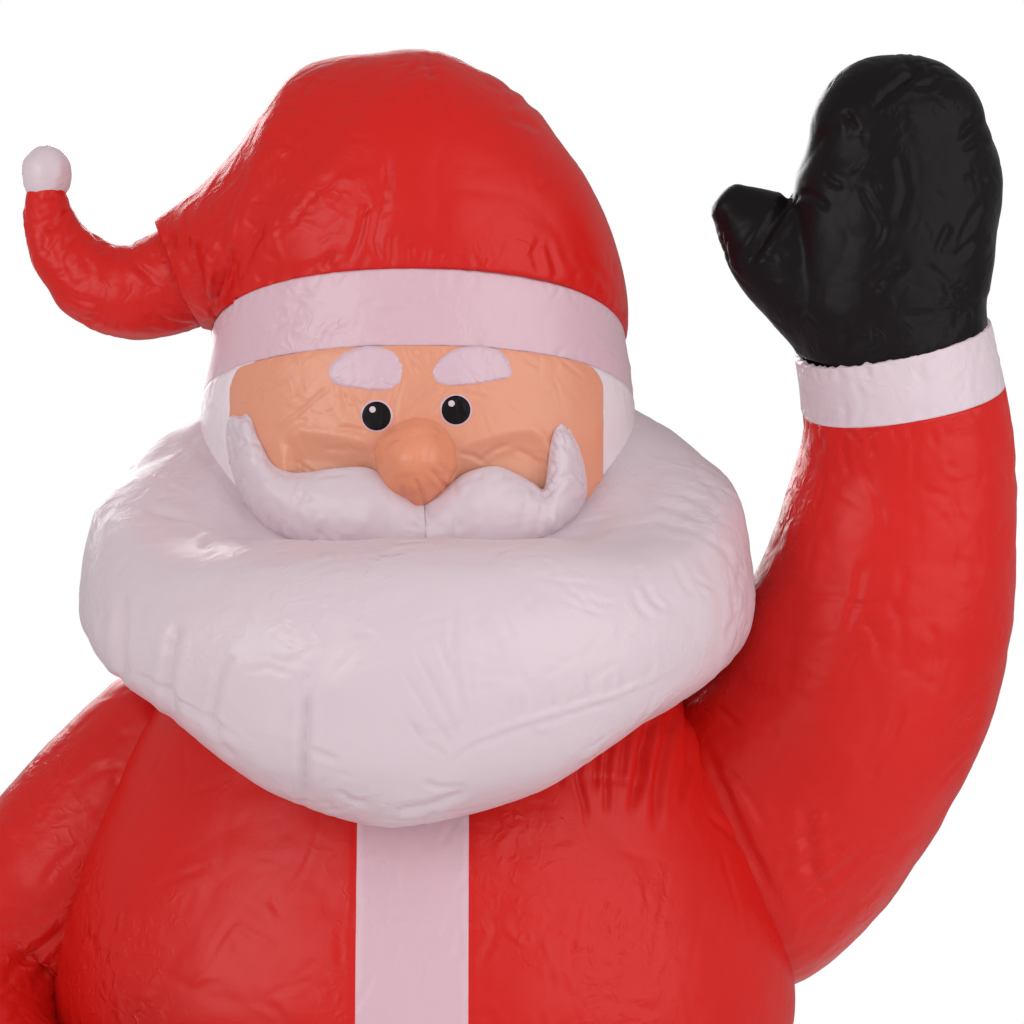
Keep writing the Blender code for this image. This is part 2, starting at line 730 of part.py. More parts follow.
# Round the head from the front: angle, then reach and level of the crest, of the widest point and of the
# underside, and the levels where the beard meets the head above and below. Reaches are shares of the
# beard's reach, and levels are shares of its height above the chin
BEARD_SHAPE = (
    (0, 0.750, 0.680, 1.000, 0.395, 0.800, 0.000, 0.620, 0.150),
    (20, 0.750, 0.680, 0.990, 0.420, 0.790, 0.072, 0.620, 0.180),
    (40, 0.740, 0.688, 0.945, 0.460, 0.750, 0.225, 0.690, 0.270),
    (63, 0.725, 0.780, 0.850, 0.520, 0.710, 0.330, 0.860, 0.360),
    (90, 0.660, 0.895, 0.786, 0.570, 0.665, 0.370, 1.010, 0.410),
    (108, 0.625, 0.900, 0.720, 0.630, 0.610, 0.440, 1.020, 0.480),
    (122, 0.560, 0.840, 0.610, 0.700, 0.560, 0.560, 0.920, 0.580),
)
BEARD_ROOT = 0.44
BEARD_FOOT_RISE = 0.04  # how far the foot's inner edge lies above it


def beard_ring(angle, around):
    """The beard's section at an angle round the head, in degrees from the front."""
    turn = math.radians(angle)
    tip_turn = math.degrees(BEARD_TIP_TURN) * math.cos(turn) ** 2 * (abs(angle) < 90)
    underside = at_key(BEARD_SHAPE, min(abs(angle - tip_turn), BEARD_SHAPE[-1][0]))
    crest_r, crest_z, wide_r, wide_z, under_r, _, top_z, _ = at_key(BEARD_SHAPE, abs(angle))
    lean = BEARD_LEAN * math.sin(turn) / BEARD_HEIGHT
    crest_z, wide_z, top_z = crest_z + lean, wide_z + lean, top_z + lean
    under_z, foot_z = underside[5] - lean, underside[7]
    side_fit = BEARD_WIDTH / 2 / (BEARD_REACH * BEARD_SHAPE[4][3])
    sideways = math.sin(turn) ** 2
    fit = side_fit * sideways + math.cos(turn) ** 2
    corners = (
        (BEARD_ROOT, top_z),
        ((BEARD_ROOT + crest_r) / 2 + 0.03, (top_z + crest_z) / 2 + 0.012),
        (crest_r, crest_z),
        (crest_r * 0.32 + wide_r * 0.68, crest_z * 0.72 + wide_z * 0.28),
        (wide_r, wide_z),
        (wide_r * 0.75 + under_r * 0.25, wide_z * 0.35 + under_z * 0.65),
        (under_r, under_z),
        ((BEARD_ROOT + under_r) / 2, (foot_z + under_z) / 2),
        (BEARD_ROOT, foot_z + BEARD_FOOT_RISE),
        (BEARD_ROOT, (foot_z + top_z) / 2),
    )
    ring = []
    for reach, level in closed_curve(corners, around):
        radius = reach * BEARD_REACH * fit
        z = CHIN_LEVEL + level * BEARD_HEIGHT
        ring.append(Vector((radius * math.sin(turn), -radius * math.cos(turn), z)))
    return ring


def beard_rings(around=16):
    last = BEARD_SHAPE[-1][0]
    angles = [last * k / 9 for k in range(-9, 10)]
    return [beard_ring(angle, around) for angle in angles]


# Arms: out from the coat's widest side, back from the figure's axis and up from the neck, then half width
# and half depth as shares of the arm's radius where it leaves the shoulder
RAISED_ARM = (
    (-0.1975, 0.040, -0.330, 0.950, 0.78),
    (-0.0925, 0.035, -0.265, 0.980, 0.82),
    (-0.0035, 0.026, -0.184, 0.970, 0.84),
    (0.0645, 0.014, -0.085, 0.930, 0.85),
    (0.1155, 0.000, 0.050, 0.890, 0.84),
    (0.1435, -0.020, 0.170, 0.805, 0.79),
    (0.1625, -0.045, 0.291, 0.715, 0.70),
    (0.1595, -0.075, 0.380, 0.665, 0.65),
    (0.1395, -0.100, 0.475, 0.645, 0.62),
)
RAISED_HAND = (
    (0.1395, -0.100, 0.475, 0.635, 0.60),
    (0.1285, -0.112, 0.540, 0.690, 0.58),
    (0.1305, -0.128, 0.620, 0.695, 0.55),
    (0.1365, -0.142, 0.700, 0.640, 0.50),
    (0.1375, -0.152, 0.768, 0.525, 0.42),
)
RAISED_THUMB = (
    (0.0545, -0.115, 0.520, 0.500, 0.44),
    (-0.0195, -0.118, 0.588, 0.390, 0.36),
    (-0.0655, -0.122, 0.632, 0.280, 0.27),
    (-0.0985, -0.124, 0.664, 0.150, 0.15),
)
LOWERED_ARM = (
    (-0.2075, 0.030, -0.147, 0.970, 0.90),
    (-0.1125, 0.020, -0.225, 0.980, 0.95),
    (0.0105, -0.010, -0.347, 0.930, 0.92),
    (0.0925, -0.070, -0.442, 0.880, 0.87),
    (0.0875, -0.170, -0.540, 0.820, 0.80),
    (0.0225, -0.265, -0.600, 0.740, 0.72),
    (-0.0475, -0.335, -0.630, 0.700, 0.68),
)
LOWERED_HAND = (
    (-0.0475, -0.335, -0.630, 0.680, 0.66),
    (-0.1125, -0.392, -0.650, 0.740, 0.58),
    (-0.1825, -0.440, -0.670, 0.720, 0.50),
    (-0.2475, -0.475, -0.685, 0.600, 0.42),
)
LOWERED_THUMB = (
    (-0.0825, -0.365, -0.610, 0.400, 0.36),
    (-0.1075, -0.410, -0.530, 0.300, 0.28),
    (-0.1225, -0.430, -0.480, 0.160, 0.16),
)


def limb(shape, radius, way):
    """A limb's stations, on the coat's right side where way is 1 and on its left where it is -1."""
    side = COAT_WIDTH / 2
    return [(way * (side + out), y, NECK_LEVEL + z, w * radius, d * radius) for out, y, z, w, d in shape]


def path_length(stations, steps=40):
    points = [Vector(between(stations, k / steps)[:3]) for k in range(steps + 1)]
    return sum((b - a).length for a, b in zip(points, points[1:]))


def make_arm(side, way, shapes, radius, coat_form, steps):
    """An arm, its cuff and its mitten, along one path from inside the shoulder to the fingertips."""
    arm, hand, finger = (limb(shape, radius, way) for shape in shapes)
    cuff_share = 1.0 - CUFF_LENGTH / path_length(arm)
    gap_share = SEAM_GAP / path_length(arm) / 2
    shoulder = grown(coat_form, SEAM_GAP)
    sleeve = swept_rings(arm, 0.0, cuff_share - gap_share, steps, AROUND_LIMB, start_dome=SHOULDER_DOME)
    boolean(loft(f"{side}_arm", sleeve, "red_fabric"), shoulder)
    cuff = swept_rings(arm, cuff_share + gap_share, 1.0 - gap_share, 2, AROUND_LIMB)
    cuff_solid = loft(f"{side}_cuff", cuff, "white_fabric")
    hand_gap = SEAM_GAP / path_length(hand)
    palm = swept_rings(hand, hand_gap, 1.0, 5, AROUND_LIMB, end_dome=hand[-1][3] * 0.85)
    mitten = loft(f"{side}_mitten", palm, "black_fabric")
    thumb = swept_rings(finger, 0.0, 1.0, 4, AROUND_SMALL, end_dome=radius * 0.10)
    boolean(mitten, loft(f"{side}_thumb_form", thumb), "UNION")
    boolean(mitten, shoulder)
    boolean(mitten, grown(cuff_solid, SEAM_GAP))
    boolean(cuff_solid, shoulder)
    whole = swept_rings(arm, 0.0, 1.0, steps + 2, AROUND_LIMB, start_dome=SHOULDER_DOME)
    return loft(f"{side}_arm_form", whole)


def make_santa():
    make_base()
    make_leg("left", -1)
    make_leg("right", 1)
    coat_form = make_coat()
    raised_shapes = (RAISED_ARM, RAISED_HAND, RAISED_THUMB)
    lowered_shapes = (LOWERED_ARM, LOWERED_HAND, LOWERED_THUMB)
    raised = make_arm("raised", 1, raised_shapes, ARM_RADIUS, coat_form, 10)
    lowered = make_arm("lowered", -1, lowered_shapes, LOWERED_ARM_RADIUS, coat_form, 8)
    head_form = make_head()
    make_hat(head_form)
    seat, nose = make_face(head_form)
    for name in ("face", "hair"):
        boolean(bpy.data.objects[name], grown(coat_form, SEAM_GAP))
    beard_form = loft("beard_form", beard_rings())
    beard = loft("beard", beard_rings(), "white_fabric")
    for neighbour in (seat, grown(coat_form, SEAM_GAP), grown(raised, SEAM_GAP), grown(lowered, SEAM_GAP)):
        boolean(beard, neighbour)
    make_moustache(seat, nose, beard_form)


clear_scene()
PARTS = new_collection("inflatable_santa")
FORMS = new_collection("forms_for_cutting")
make_santa()
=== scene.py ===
"""Looks of the inflatable Santa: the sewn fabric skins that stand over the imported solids.

Metres, +Z up, the figure faces -Y. Each skin is a fine surface drawn from the same smooth forms as the
solids, then gathered at its seams, folded and covered with the small crinkles of thin taffeta.
Folds that the front shows are placed in pixels of the 1024-pixel front view.
"""

import math

import bmesh
import bpy
import numpy as np
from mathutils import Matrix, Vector, noise


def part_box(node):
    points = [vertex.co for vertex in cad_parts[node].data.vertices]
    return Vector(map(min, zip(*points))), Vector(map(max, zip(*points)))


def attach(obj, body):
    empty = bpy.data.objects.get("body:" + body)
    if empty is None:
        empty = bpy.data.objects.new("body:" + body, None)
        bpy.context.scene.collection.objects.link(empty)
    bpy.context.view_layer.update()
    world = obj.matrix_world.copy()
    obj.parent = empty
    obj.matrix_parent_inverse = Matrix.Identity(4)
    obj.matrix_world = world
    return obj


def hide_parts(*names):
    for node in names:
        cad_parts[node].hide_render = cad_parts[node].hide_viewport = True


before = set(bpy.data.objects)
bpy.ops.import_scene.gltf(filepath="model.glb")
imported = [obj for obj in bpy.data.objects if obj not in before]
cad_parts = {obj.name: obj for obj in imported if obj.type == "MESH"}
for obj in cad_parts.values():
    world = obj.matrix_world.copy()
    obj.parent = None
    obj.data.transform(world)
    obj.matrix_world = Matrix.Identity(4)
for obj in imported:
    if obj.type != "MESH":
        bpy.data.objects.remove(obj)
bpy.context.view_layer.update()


def lowest(node, axis):
    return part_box(node)[0][axis]


def highest(node, axis):
    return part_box(node)[1][axis]


# Sizes read from the frame
HEM_FOOT = lowest("coat_hem", 2)
HEM_TOP = highest("coat_hem", 2)
COAT_TOP = highest("coat_body", 2)
COAT_HEIGHT = COAT_TOP - HEM_FOOT
COAT_WIDTH = highest("coat_body", 0) - lowest("coat_body", 0)
COAT_DEPTH = 2 * highest("coat_body", 1)
BELT_FOOT = lowest("belt", 2)
BELT_TOP = highest("belt", 2)
TRIM_WIDTH = highest("coat_trim", 0) - lowest("coat_trim", 0)
HEAD_WIDTH = 0.626
HEAD_DEPTH = 0.572
HEAD_SHIFT = -0.0025
NECK_LEVEL = COAT_TOP - 0.08
HEAD_HEIGHT = 0.479
BAND_TOP_TILT = math.radians(17.0)
BAND_FOOT_TILT = math.radians(13.5)
BAND_TOP = NECK_LEVEL + HEAD_HEIGHT
BAND_FRONT_HEIGHT = 0.107
CROWN_HEIGHT = 0.406
TAIL_RADIUS = (highest("hat_tail", 1) - lowest("hat_tail", 1)) / 2
ARM_RADIUS = 0.217
LOWERED_ARM_RADIUS = 0.172
CUFF_LENGTH = 0.103
SHOULDER_DOME = 0.10
BEARD_REACH = 0.615
BEARD_WIDTH = 0.934
BEARD_HEIGHT = 0.555
CHIN_LEVEL = NECK_LEVEL - 0.185
BEARD_LEAN = 0.012
BEARD_TIP_TURN = -3.0
BASE_TOP = highest("base_pad", 2)

# The front view: a level camera whose picture is 1024 pixels wide
CAMERA_X = 0.133
CAMERA_Z = 1.73
DISTANCE = 5.0
PIXEL = 0.00145
MIDDLE = 512

FINE = 1.0

# How far from a seam the fabric lies flat, and how deep its edge is tucked in
SEAM = 0.004
# How full the sections of the head and the coat are: 2 is an ellipse
SQUARENESS = 2.2
COAT_SQUARENESS = 2.15


def fine(count):
    return max(8, int(count * FINE))


# Smooth curves


def between(points, shares):
    """The points at these shares of the way along a smooth curve through points."""
    points = np.asarray(points, float)
    place = np.clip(np.asarray(shares, float), 0.0, 1.0) * (len(points) - 1)
    i = np.minimum(place.astype(int), len(points) - 2)
    t = (place - i)[..., None]
    before, start = points[np.maximum(i - 1, 0)], points[i]
    end, after = points[i + 1], points[np.minimum(i + 2, len(points) - 1)]
    bend = (2 * before - 5 * start + 4 * end - after) * t**2
    return 0.5 * (2 * start + (end - before) * t + bend + (3 * start - before - 3 * end + after) * t**3)


def at_key(table, keys):
    """A table's values where its first column has these values, along the smooth curve through its rows."""
    table = np.asarray(table, float)
    keys = np.asarray(keys, float)
    i = np.clip(np.searchsorted(table[:, 0], keys, side="right") - 1, 0, len(table) - 2)
    t = np.clip((keys - table[i, 0]) / (table[i + 1, 0] - table[i, 0]), 0.0, 1.0)
    return np.moveaxis(between(table[:, 1:], (i + t) / (len(table) - 1)), -1, 0)


def closed_curve(points, count, weights=None):
    """This many points on the smooth closed curve through points, shared out by weight between them."""
    points = np.asarray(points, float)
    wrapped = points[np.arange(-3, len(points) + 4) % len(points)]
    weights = np.ones(len(points)) if weights is None else np.asarray(weights, float)
    filled = np.concatenate([[0.0], np.cumsum(weights)]) / weights.sum()
    place = np.interp(np.arange(count) / count, filled, np.arange(len(points) + 1))
    return between(wrapped, (3 + place) / (len(wrapped) - 1))


def superellipse(angles, half_width, half_depth, squareness=SQUARENESS):
    c, s = np.cos(angles), np.sin(angles)
    power = 2.0 / squareness
    return half_width * np.sign(c) * np.abs(c) ** power, half_depth * np.sign(s) * np.abs(s) ** power


def turns(count):
    return np.arange(count) * 2 * math.pi / count


FRONT_CROWDING = 0.5


def front_turns(count):
    """Angles round a ring, closer together towards the front."""
    even = turns(count)
    return even - FRONT_CROWDING * np.cos(even)


def smoothstep(low, high, value):
    t = np.clip((value - low) / (high - low), 0.0, 1.0)
    return t * t * (3 - 2 * t)


# Grids: arrays of points, rows by columns. A closed grid joins its last column to its first


def grid_normals(grid, closed=True):
    if closed:
        across = np.roll(grid, -1, axis=1) - np.roll(grid, 1, axis=1)
    else:
        across = np.gradient(grid, axis=1)
    normal = np.cross(across, np.gradient(grid, axis=0))
    normal /= np.maximum(np.linalg.norm(normal, axis=-1, keepdims=True), 1e-12)
    if closed:
        outward = grid - grid.mean(axis=1, keepdims=True)
    else:
        outward = np.broadcast_to((0.0, -1.0, 0.0), grid.shape)
    return -normal if (normal * outward).sum() < 0 else normal


def run_along(grid):
    """The distance from the first row to each point, down its column."""
    steps = np.linalg.norm(np.diff(grid, axis=0), axis=-1)
    return np.vstack([np.zeros((1, grid.shape[1])), np.cumsum(steps, axis=0)])


def run_around(grid, row):
    """The distance round one row, given to every row, and the whole way round."""
    steps = np.linalg.norm(np.roll(grid[row], -1, axis=0) - grid[row], axis=-1)
    run = np.concatenate([[0.0], np.cumsum(steps)])
    return np.broadcast_to(run[:-1], grid.shape[:2]), run[-1]


def smoothed(grid, times):
    """Evens out a closed grid, and leaves its first and last row alone."""
    for _ in range(times):
        around = (np.roll(grid, 1, axis=1) + np.roll(grid, -1, axis=1)) / 2
        mixed = around.copy()
        mixed[1:-1] = (around[1:-1] + (grid[:-2] + grid[2:]) / 2) / 2
        mixed[0], mixed[-1] = grid[0], grid[-1]
        grid = (grid + mixed) / 2
    return grid


def moved(grid, by, closed=True):
    return grid + grid_normals(grid, closed) * by[..., None]


def pixels(points):
    """Where points show in the front view."""
    scale = DISTANCE / (DISTANCE + points[..., 1]) / PIXEL
    return MIDDLE + (points[..., 0] - CAMERA_X) * scale, MIDDLE - (points[..., 2] - CAMERA_Z) * scale


def beyond_pixels(u, v, y):
    """The points at these depths that show at these pixels."""
    scale = PIXEL * (DISTANCE + y) / DISTANCE
    return np.stack([CAMERA_X + (u - MIDDLE) * scale, y + 0 * u, CAMERA_Z - (v - MIDDLE) * scale], axis=-1)


# Fabric relief: heights in metres


def grain(points, size, seed):
    """Smooth noise from about -1 to 1, whose lumps are this size."""
    shift = np.array([seed * 17.3, seed * 5.1, seed * 9.7])
    flat = (points.reshape(-1, 3) / size + shift).tolist()
    return np.array([noise.noise(p) for p in flat]).reshape(points.shape[:-1])


def crumple(points, size, seed):
    """Sharp folds between soft facets, from about -0.5 in the folds to 0.5 on the facets."""
    bend = grain(points, size * 1.7, seed + 3)[..., None] * size * 0.5
    first = np.abs(grain(points + bend, size, seed))
    second = np.abs(grain(points - bend, size * 0.5, seed + 1))
    return np.clip(first * 1.6, 0, 1) * 0.7 + np.clip(second * 1.6, 0, 1) * 0.3 - 0.4


def valley(off):
    """A fold's section, over the distance from its line as a share of its half width."""
    off = np.abs(off)
    return 0.30 * np.exp(-((off - 2.1) ** 2)) - np.exp(-(off**1.25))


def gathers(run, whole, away, pitch, reach, depth, seed, slant=0.45, width=0.26):
    """Short folds, unevenly spaced along a seam, that run out from it and fade."""
    rng = np.random.default_rng(seed)
    height = np.zeros(run.shape)
    place = 0.0
    while place < whole:
        place += pitch * rng.uniform(0.45, 1.6)
        long = reach * rng.uniform(0.35, 1.5)
        lean = rng.normal(0.0, slant)
        half = pitch * width * rng.uniform(0.5, 1.2)
        deep = depth * rng.uniform(0.35, 1.2)
        off = run - place - lean * away - 0.15 * lean * away**2 / reach
        off -= whole * np.round(off / whole)
        near = (np.abs(off) < 5 * half) & (away < long)
        share = away[near] / long
        spread = half * (0.7 + 0.9 * share)
        across = deep * valley(off[near] / spread)
        height[near] += across * (1 - share) ** 1.2 * smoothstep(-0.02, 0.08, share)
    return height


def puffed(away, reach, height):
    """How a panel swells away from the seam that holds it down."""
    return height * (1 - np.exp(-away / reach))


def crinkles(grid, normals, groups, seed, spread=0.05, depth=0.0016, width=0.0045):
    """Small sharp folds in scattered groups, which the fabric keeps from being packed away."""
    rng = np.random.default_rng(seed)
    height = np.zeros(grid.shape[:2])
    for _ in range(groups):
        row, column = rng.integers(grid.shape[0]), rng.integers(grid.shape[1])
        centre, up = grid[row, column], normals[row, column]
        first = np.cross(up, rng.normal(size=3))
        first /= np.linalg.norm(first)
        second = np.cross(up, first)
        size = spread * rng.uniform(0.6, 1.6)
        near = (np.abs(grid - centre) < size * 2.2).all(axis=-1)
        offset = grid[near] - centre
        a, b = offset @ first, offset @ second
        facing = np.abs(offset @ up) < size
        for _ in range(rng.integers(3, 7)):
            turn = rng.normal(0.0, 0.7)
            start_a, start_b = rng.normal(0.0, size * 0.4, 2)
            long = size * rng.uniform(0.5, 1.6)
            along = (a - start_a) * math.cos(turn) + (b - start_b) * math.sin(turn)
            off = (b - start_b) * math.cos(turn) - (a - start_a) * math.sin(turn)
            off += rng.normal(0.0, 1.2) * along**2 / size * 0.3
            fade = smoothstep(0, 0.35, along / long) * (1 - smoothstep(0.55, 1.0, along / long))
            sign = 1.0 if rng.uniform() < 0.7 else -0.7
            height[near] += sign * depth * rng.uniform(0.4, 1.2) * fade * facing * valley(off / width)
    return height


def folds(points, table, front=True):
    """Folds along lines of the front view: half width in pixels, depth in millimetres, then the pixels."""
    u, v = pixels(points)
    facing = points[..., 1] < 0.06 if front else np.ones(u.shape, bool)
    height = np.zeros(u.shape)
    for width, depth, *line in table:
        line = np.array(line, float)
        reach = 5 * width
        box = (u > line[:, 0].min() - reach) & (u < line[:, 0].max() + reach)
        box &= (v > line[:, 1].min() - reach) & (v < line[:, 1].max() + reach) & facing
        pu, pv = u[box], v[box]
        if pu.size == 0:
            continue
        lengths = np.linalg.norm(np.diff(line, axis=0), axis=1)
        best = np.full(pu.shape, 1e9)
        share = np.zeros(pu.shape)
        done = 0.0
        for (x0, y0), (x1, y1), length in zip(line, line[1:], lengths):
            t = np.clip(((pu - x0) * (x1 - x0) + (pv - y0) * (y1 - y0)) / length**2, 0.0, 1.0)
            away = np.hypot(pu - x0 - t * (x1 - x0), pv - y0 - t * (y1 - y0))
            closer = away < best
            best = np.where(closer, away, best)
            share = np.where(closer, (done + t * length) / lengths.sum(), share)
            done += length
        fade = smoothstep(0.0, 0.18, share) * (1 - smoothstep(0.72, 1.0, share))
        height[box] += depth * 0.001 * fade * valley(best / width)
    return height


# Meshes


def link(name, mesh, nodes, cloth):
    """Makes a mesh a piece that stands for these nodes."""
    slot, material = cloth
    obj = bpy.data.objects.new(name, mesh)
    bpy.context.scene.collection.objects.link(obj)
    mesh.materials.clear()
    mesh.materials.append(material)
    mesh.shade_smooth()
    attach(obj, "root")
    if nodes:
        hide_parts(*nodes)
    return obj


def grid_mesh(name, grid, closed=True, cap_first=False, cap_last=False, tuck_first=0.0, tuck_last=0.0):
    """A mesh over a grid. An end row is closed by a fan, or tucked in as a seam allowance."""
    normals = grid_normals(grid, closed)
    if tuck_first:
        grid = np.concatenate([grid[:1] - normals[:1] * tuck_first, grid])
    if tuck_last:
        grid = np.concatenate([grid, grid[-1:] - normals[-1:] * tuck_last])
    rows, columns = grid.shape[:2]
    index = np.arange(rows * columns).reshape(rows, columns)
    if closed:
        here, ahead = index, np.roll(index, -1, axis=1)
    else:
        here, ahead = index[:, :-1], index[:, 1:]
    faces = np.stack([here[:-1], ahead[:-1], ahead[1:], here[1:]], axis=-1).reshape(-1, 4).tolist()
    verts = grid.reshape(-1, 3).tolist()
    for wanted, row in ((cap_first, 0), (cap_last, rows - 1)):
        if wanted:
            verts.append(grid[row].mean(axis=0).tolist())
            faces += [[int(a), int(b), len(verts) - 1] for a, b in zip(here[row], ahead[row])]
    mesh = bpy.data.meshes.new(name)
    mesh.from_pydata(verts, [], faces)
    bm = bmesh.new()
    bm.from_mesh(mesh)
    bmesh.ops.recalc_face_normals(bm, faces=bm.faces)
    middle = Vector((0.0, 1e3, 0.0)) if not closed else Vector(grid.reshape(-1, 3).mean(axis=0).tolist())
    outward = sum((f.calc_center_median() - middle).dot(f.normal) * f.calc_area() for f in bm.faces)
    if outward < 0:
        bmesh.ops.reverse_faces(bm, faces=bm.faces)
    bm.to_mesh(mesh)
    bm.free()
    return mesh


def split(mesh, planes, keep):
    """Cuts a mesh along planes, (point, normal), and keeps the faces whose middle passes a test."""
    bm = bmesh.new()
    bm.from_mesh(mesh)
    for point, normal in planes:
        geometry = bm.verts[:] + bm.edges[:] + bm.faces[:]
        bmesh.ops.bisect_plane(bm, geom=geometry, dist=1e-6, plane_co=point, plane_no=normal)
    gone = [face for face in bm.faces if not keep(face.calc_center_median())]
    bmesh.ops.delete(bm, geom=gone, context="FACES")
    made = bpy.data.meshes.new(mesh.name)
    bm.to_mesh(made)
    bm.free()
    return made


def without(mesh, hidden):
    """Leaves out the faces whose corners all pass a test on their points."""
    bm = bmesh.new()
    bm.from_mesh(mesh)
    gone_verts = hidden(np.array([v.co for v in bm.verts]))
    gone = [face for face in bm.faces if all(gone_verts[v.index] for v in face.verts)]
    bmesh.ops.delete(bm, geom=gone, context="FACES")
    bm.to_mesh(mesh)
    bm.free()
    return mesh


def remeshed(mesh, voxel, smooth):
    """One closed even surface round everything in a mesh."""
    obj = bpy.data.objects.new("being_remeshed", mesh)
    bpy.context.scene.collection.objects.link(obj)
    remesh = obj.modifiers.new("remesh", "REMESH")
    remesh.mode = "VOXEL"
    remesh.voxel_size = voxel
    even = obj.modifiers.new("smooth", "SMOOTH")
    even.iterations = smooth
    made = bpy.data.meshes.new_from_object(obj.evaluated_get(bpy.context.evaluated_depsgraph_get()))
    bpy.data.objects.remove(obj)
    return made


def displaced(mesh, relief):
    """Moves a mesh's points along their normals by relief(points, normals)."""
    count = len(mesh.vertices)
    points = np.empty(count * 3)
    normals = np.empty(count * 3)
    mesh.vertices.foreach_get("co", points)
    mesh.vertex_normals.foreach_get("vector", normals)
    points, normals = points.reshape(-1, 3), normals.reshape(-1, 3)
    moved_points = points + normals * relief(points, normals)[:, None]
    mesh.vertices.foreach_set("co", moved_points.reshape(-1))
    mesh.update()
    return mesh


# Materials


def add_node(tree, kind, values=(), sources=(), **settings):
    """Adds a shader node with these settings, (input, value) pairs and (input, source) pairs."""
    node = tree.nodes.new("ShaderNode" + kind)
    for setting, value in settings.items():
        setattr(node, setting, value)
    for key, value in values:
        node.inputs[key].default_value = value
    for key, source in sources:
        tree.links.new(source, node.inputs[key])
    return node


def fabric(name, slot, colour, roughness=0.30, tint=0.07, sheen=0.08, crinkle=0.6, specular=0.45):
    """Thin woven taffeta: satin shine, fine weave, small crinkles and a slightly uneven dye."""
    material = bpy.data.materials.new(name)
    material.use_nodes = True
    tree = material.node_tree
    shader = tree.nodes["Principled BSDF"]
    shader.inputs["Sheen Weight"].default_value = sheen
    shader.inputs["Sheen Roughness"].default_value = 0.4
    shader.inputs["Specular IOR Level"].default_value = specular
    place = [("Vector", add_node(tree, "TexCoord").outputs["Object"])]

    cloud = add_node(tree, "TexNoise", [("Scale", 4.0), ("Detail", 5.0)], place).outputs["Fac"]
    darker = (*[c * (1 - tint) for c in colour], 1.0)
    lighter = (*[min(1.0, c * (1 + tint)) for c in colour], 1.0)
    dye = add_node(tree, "Mix", [("A", darker), ("B", lighter)], [("Factor", cloud)], data_type="RGBA")
    tree.links.new(dye.outputs["Result"], shader.inputs["Base Color"])
    # Roughness varies where the fabric is rubbed
    rubbed = [("To Min", roughness - 0.06), ("To Max", roughness + 0.08)]
    rub = add_node(tree, "MapRange", rubbed, [("Value", cloud)])
    tree.links.new(rub.outputs["Result"], shader.inputs["Roughness"])

    # Crinkles of a few centimetres, and a finer crackle on them
    ridges = "RIDGED_MULTIFRACTAL"
    sizes = [("Scale", 19.0), ("Detail", 6.0), ("Distortion", 0.8)]
    fold = add_node(tree, "TexNoise", sizes, place, noise_type=ridges)
    sizes = [("Scale", 50.0), ("Detail", 4.0), ("Distortion", 1.2)]
    crackle = add_node(tree, "TexNoise", sizes, place, noise_type=ridges)
    sources = [(0, crackle.outputs["Fac"]), (2, fold.outputs["Fac"])]
    both = add_node(tree, "Math", [(1, 0.36)], sources, operation="MULTIPLY_ADD")
    # They come and go from place to place
    patchy = add_node(tree, "TexNoise", [("Scale", 3.5), ("Detail", 2.0)], place)
    limits = [("From Min", 0.46), ("From Max", 0.64), ("To Min", 0.08)]
    spread = add_node(tree, "MapRange", limits, [("Value", patchy.outputs["Fac"])])
    sources = [(0, both.outputs["Value"]), (1, spread.outputs["Result"])]
    height = add_node(tree, "Math", [], sources, operation="MULTIPLY")
    depth = [("Strength", crinkle), ("Distance", 0.0062)]
    crinkled = add_node(tree, "Bump", depth, [("Height", height.outputs["Value"])])

    # The weave's threads
    threads = [
        add_node(tree, "TexWave", [("Scale", 300.0)], place, bands_direction=way).outputs["Fac"]
        for way in ("X", "Z")
    ]
    cross = add_node(tree, "Math", [], list(enumerate(threads)), operation="MULTIPLY")
    sources = [("Height", cross.outputs["Value"]), ("Normal", crinkled.outputs["Normal"])]
    woven = add_node(tree, "Bump", [("Strength", 0.10), ("Distance", 0.0003)], sources)
    tree.links.new(woven.outputs["Normal"], shader.inputs["Normal"])
    return slot, material


RED = fabric(
    "red_taffeta", "red_fabric", (0.60, 0.009, 0.006), roughness=0.35, sheen=0.0, crinkle=1.0, specular=0.28
)
WHITE = fabric("white_taffeta", "white_fabric", (0.66, 0.53, 0.58), tint=0.04)
HAIR_WHITE = fabric("hair_taffeta", "white_fabric", (0.78, 0.66, 0.70), tint=0.04, crinkle=0.9)
BAND_PINK = fabric("band_taffeta", "white_fabric", (0.66, 0.43, 0.49), tint=0.04, crinkle=0.7)
BLACK = fabric(
    "black_taffeta", "black_fabric", (0.010, 0.0075, 0.009), tint=0.2, sheen=0.0, crinkle=1.0, specular=0.11
)
BROW = fabric("brow_taffeta", "white_fabric", (0.65, 0.45, 0.52), tint=0.05, crinkle=1.0)
SKIN = fabric("skin_taffeta", "skin_fabric", (0.72, 0.295, 0.185), tint=0.05, crinkle=0.5)
NOSE = fabric("nose_taffeta", "nose_fabric", (0.76, 0.27, 0.15), tint=0.06)
GOLD = fabric("gold_taffeta", "gold_fabric", (0.72, 0.42, 0.06))


# Head and hat

# Shares of the head's height, then of its width and depth there
HEAD_PROFILE = (
    (0.00, 0.84, 0.88),
    (0.25, 0.96, 0.96),
    (0.52, 0.998, 0.995),
    (0.78, 1.000, 1.000),
    (1.00, 0.956, 0.975),
    (1.30, 0.940, 0.960),
)


def head_ring(level, tilt, count):
    """The head's outline where a plane, tilted up at the front, crosses its axis at this level."""
    angles = front_turns(count)
    z = np.full(count, float(level))
    for _ in range(4):
        width, depth = at_key(HEAD_PROFILE, (z - NECK_LEVEL) / HEAD_HEIGHT)
        x, y = superellipse(angles, HEAD_WIDTH / 2 * width, HEAD_DEPTH / 2 * depth)
        z = level - y * math.tan(tilt)
    return np.stack([x + HEAD_SHIFT, y, z], axis=-1)


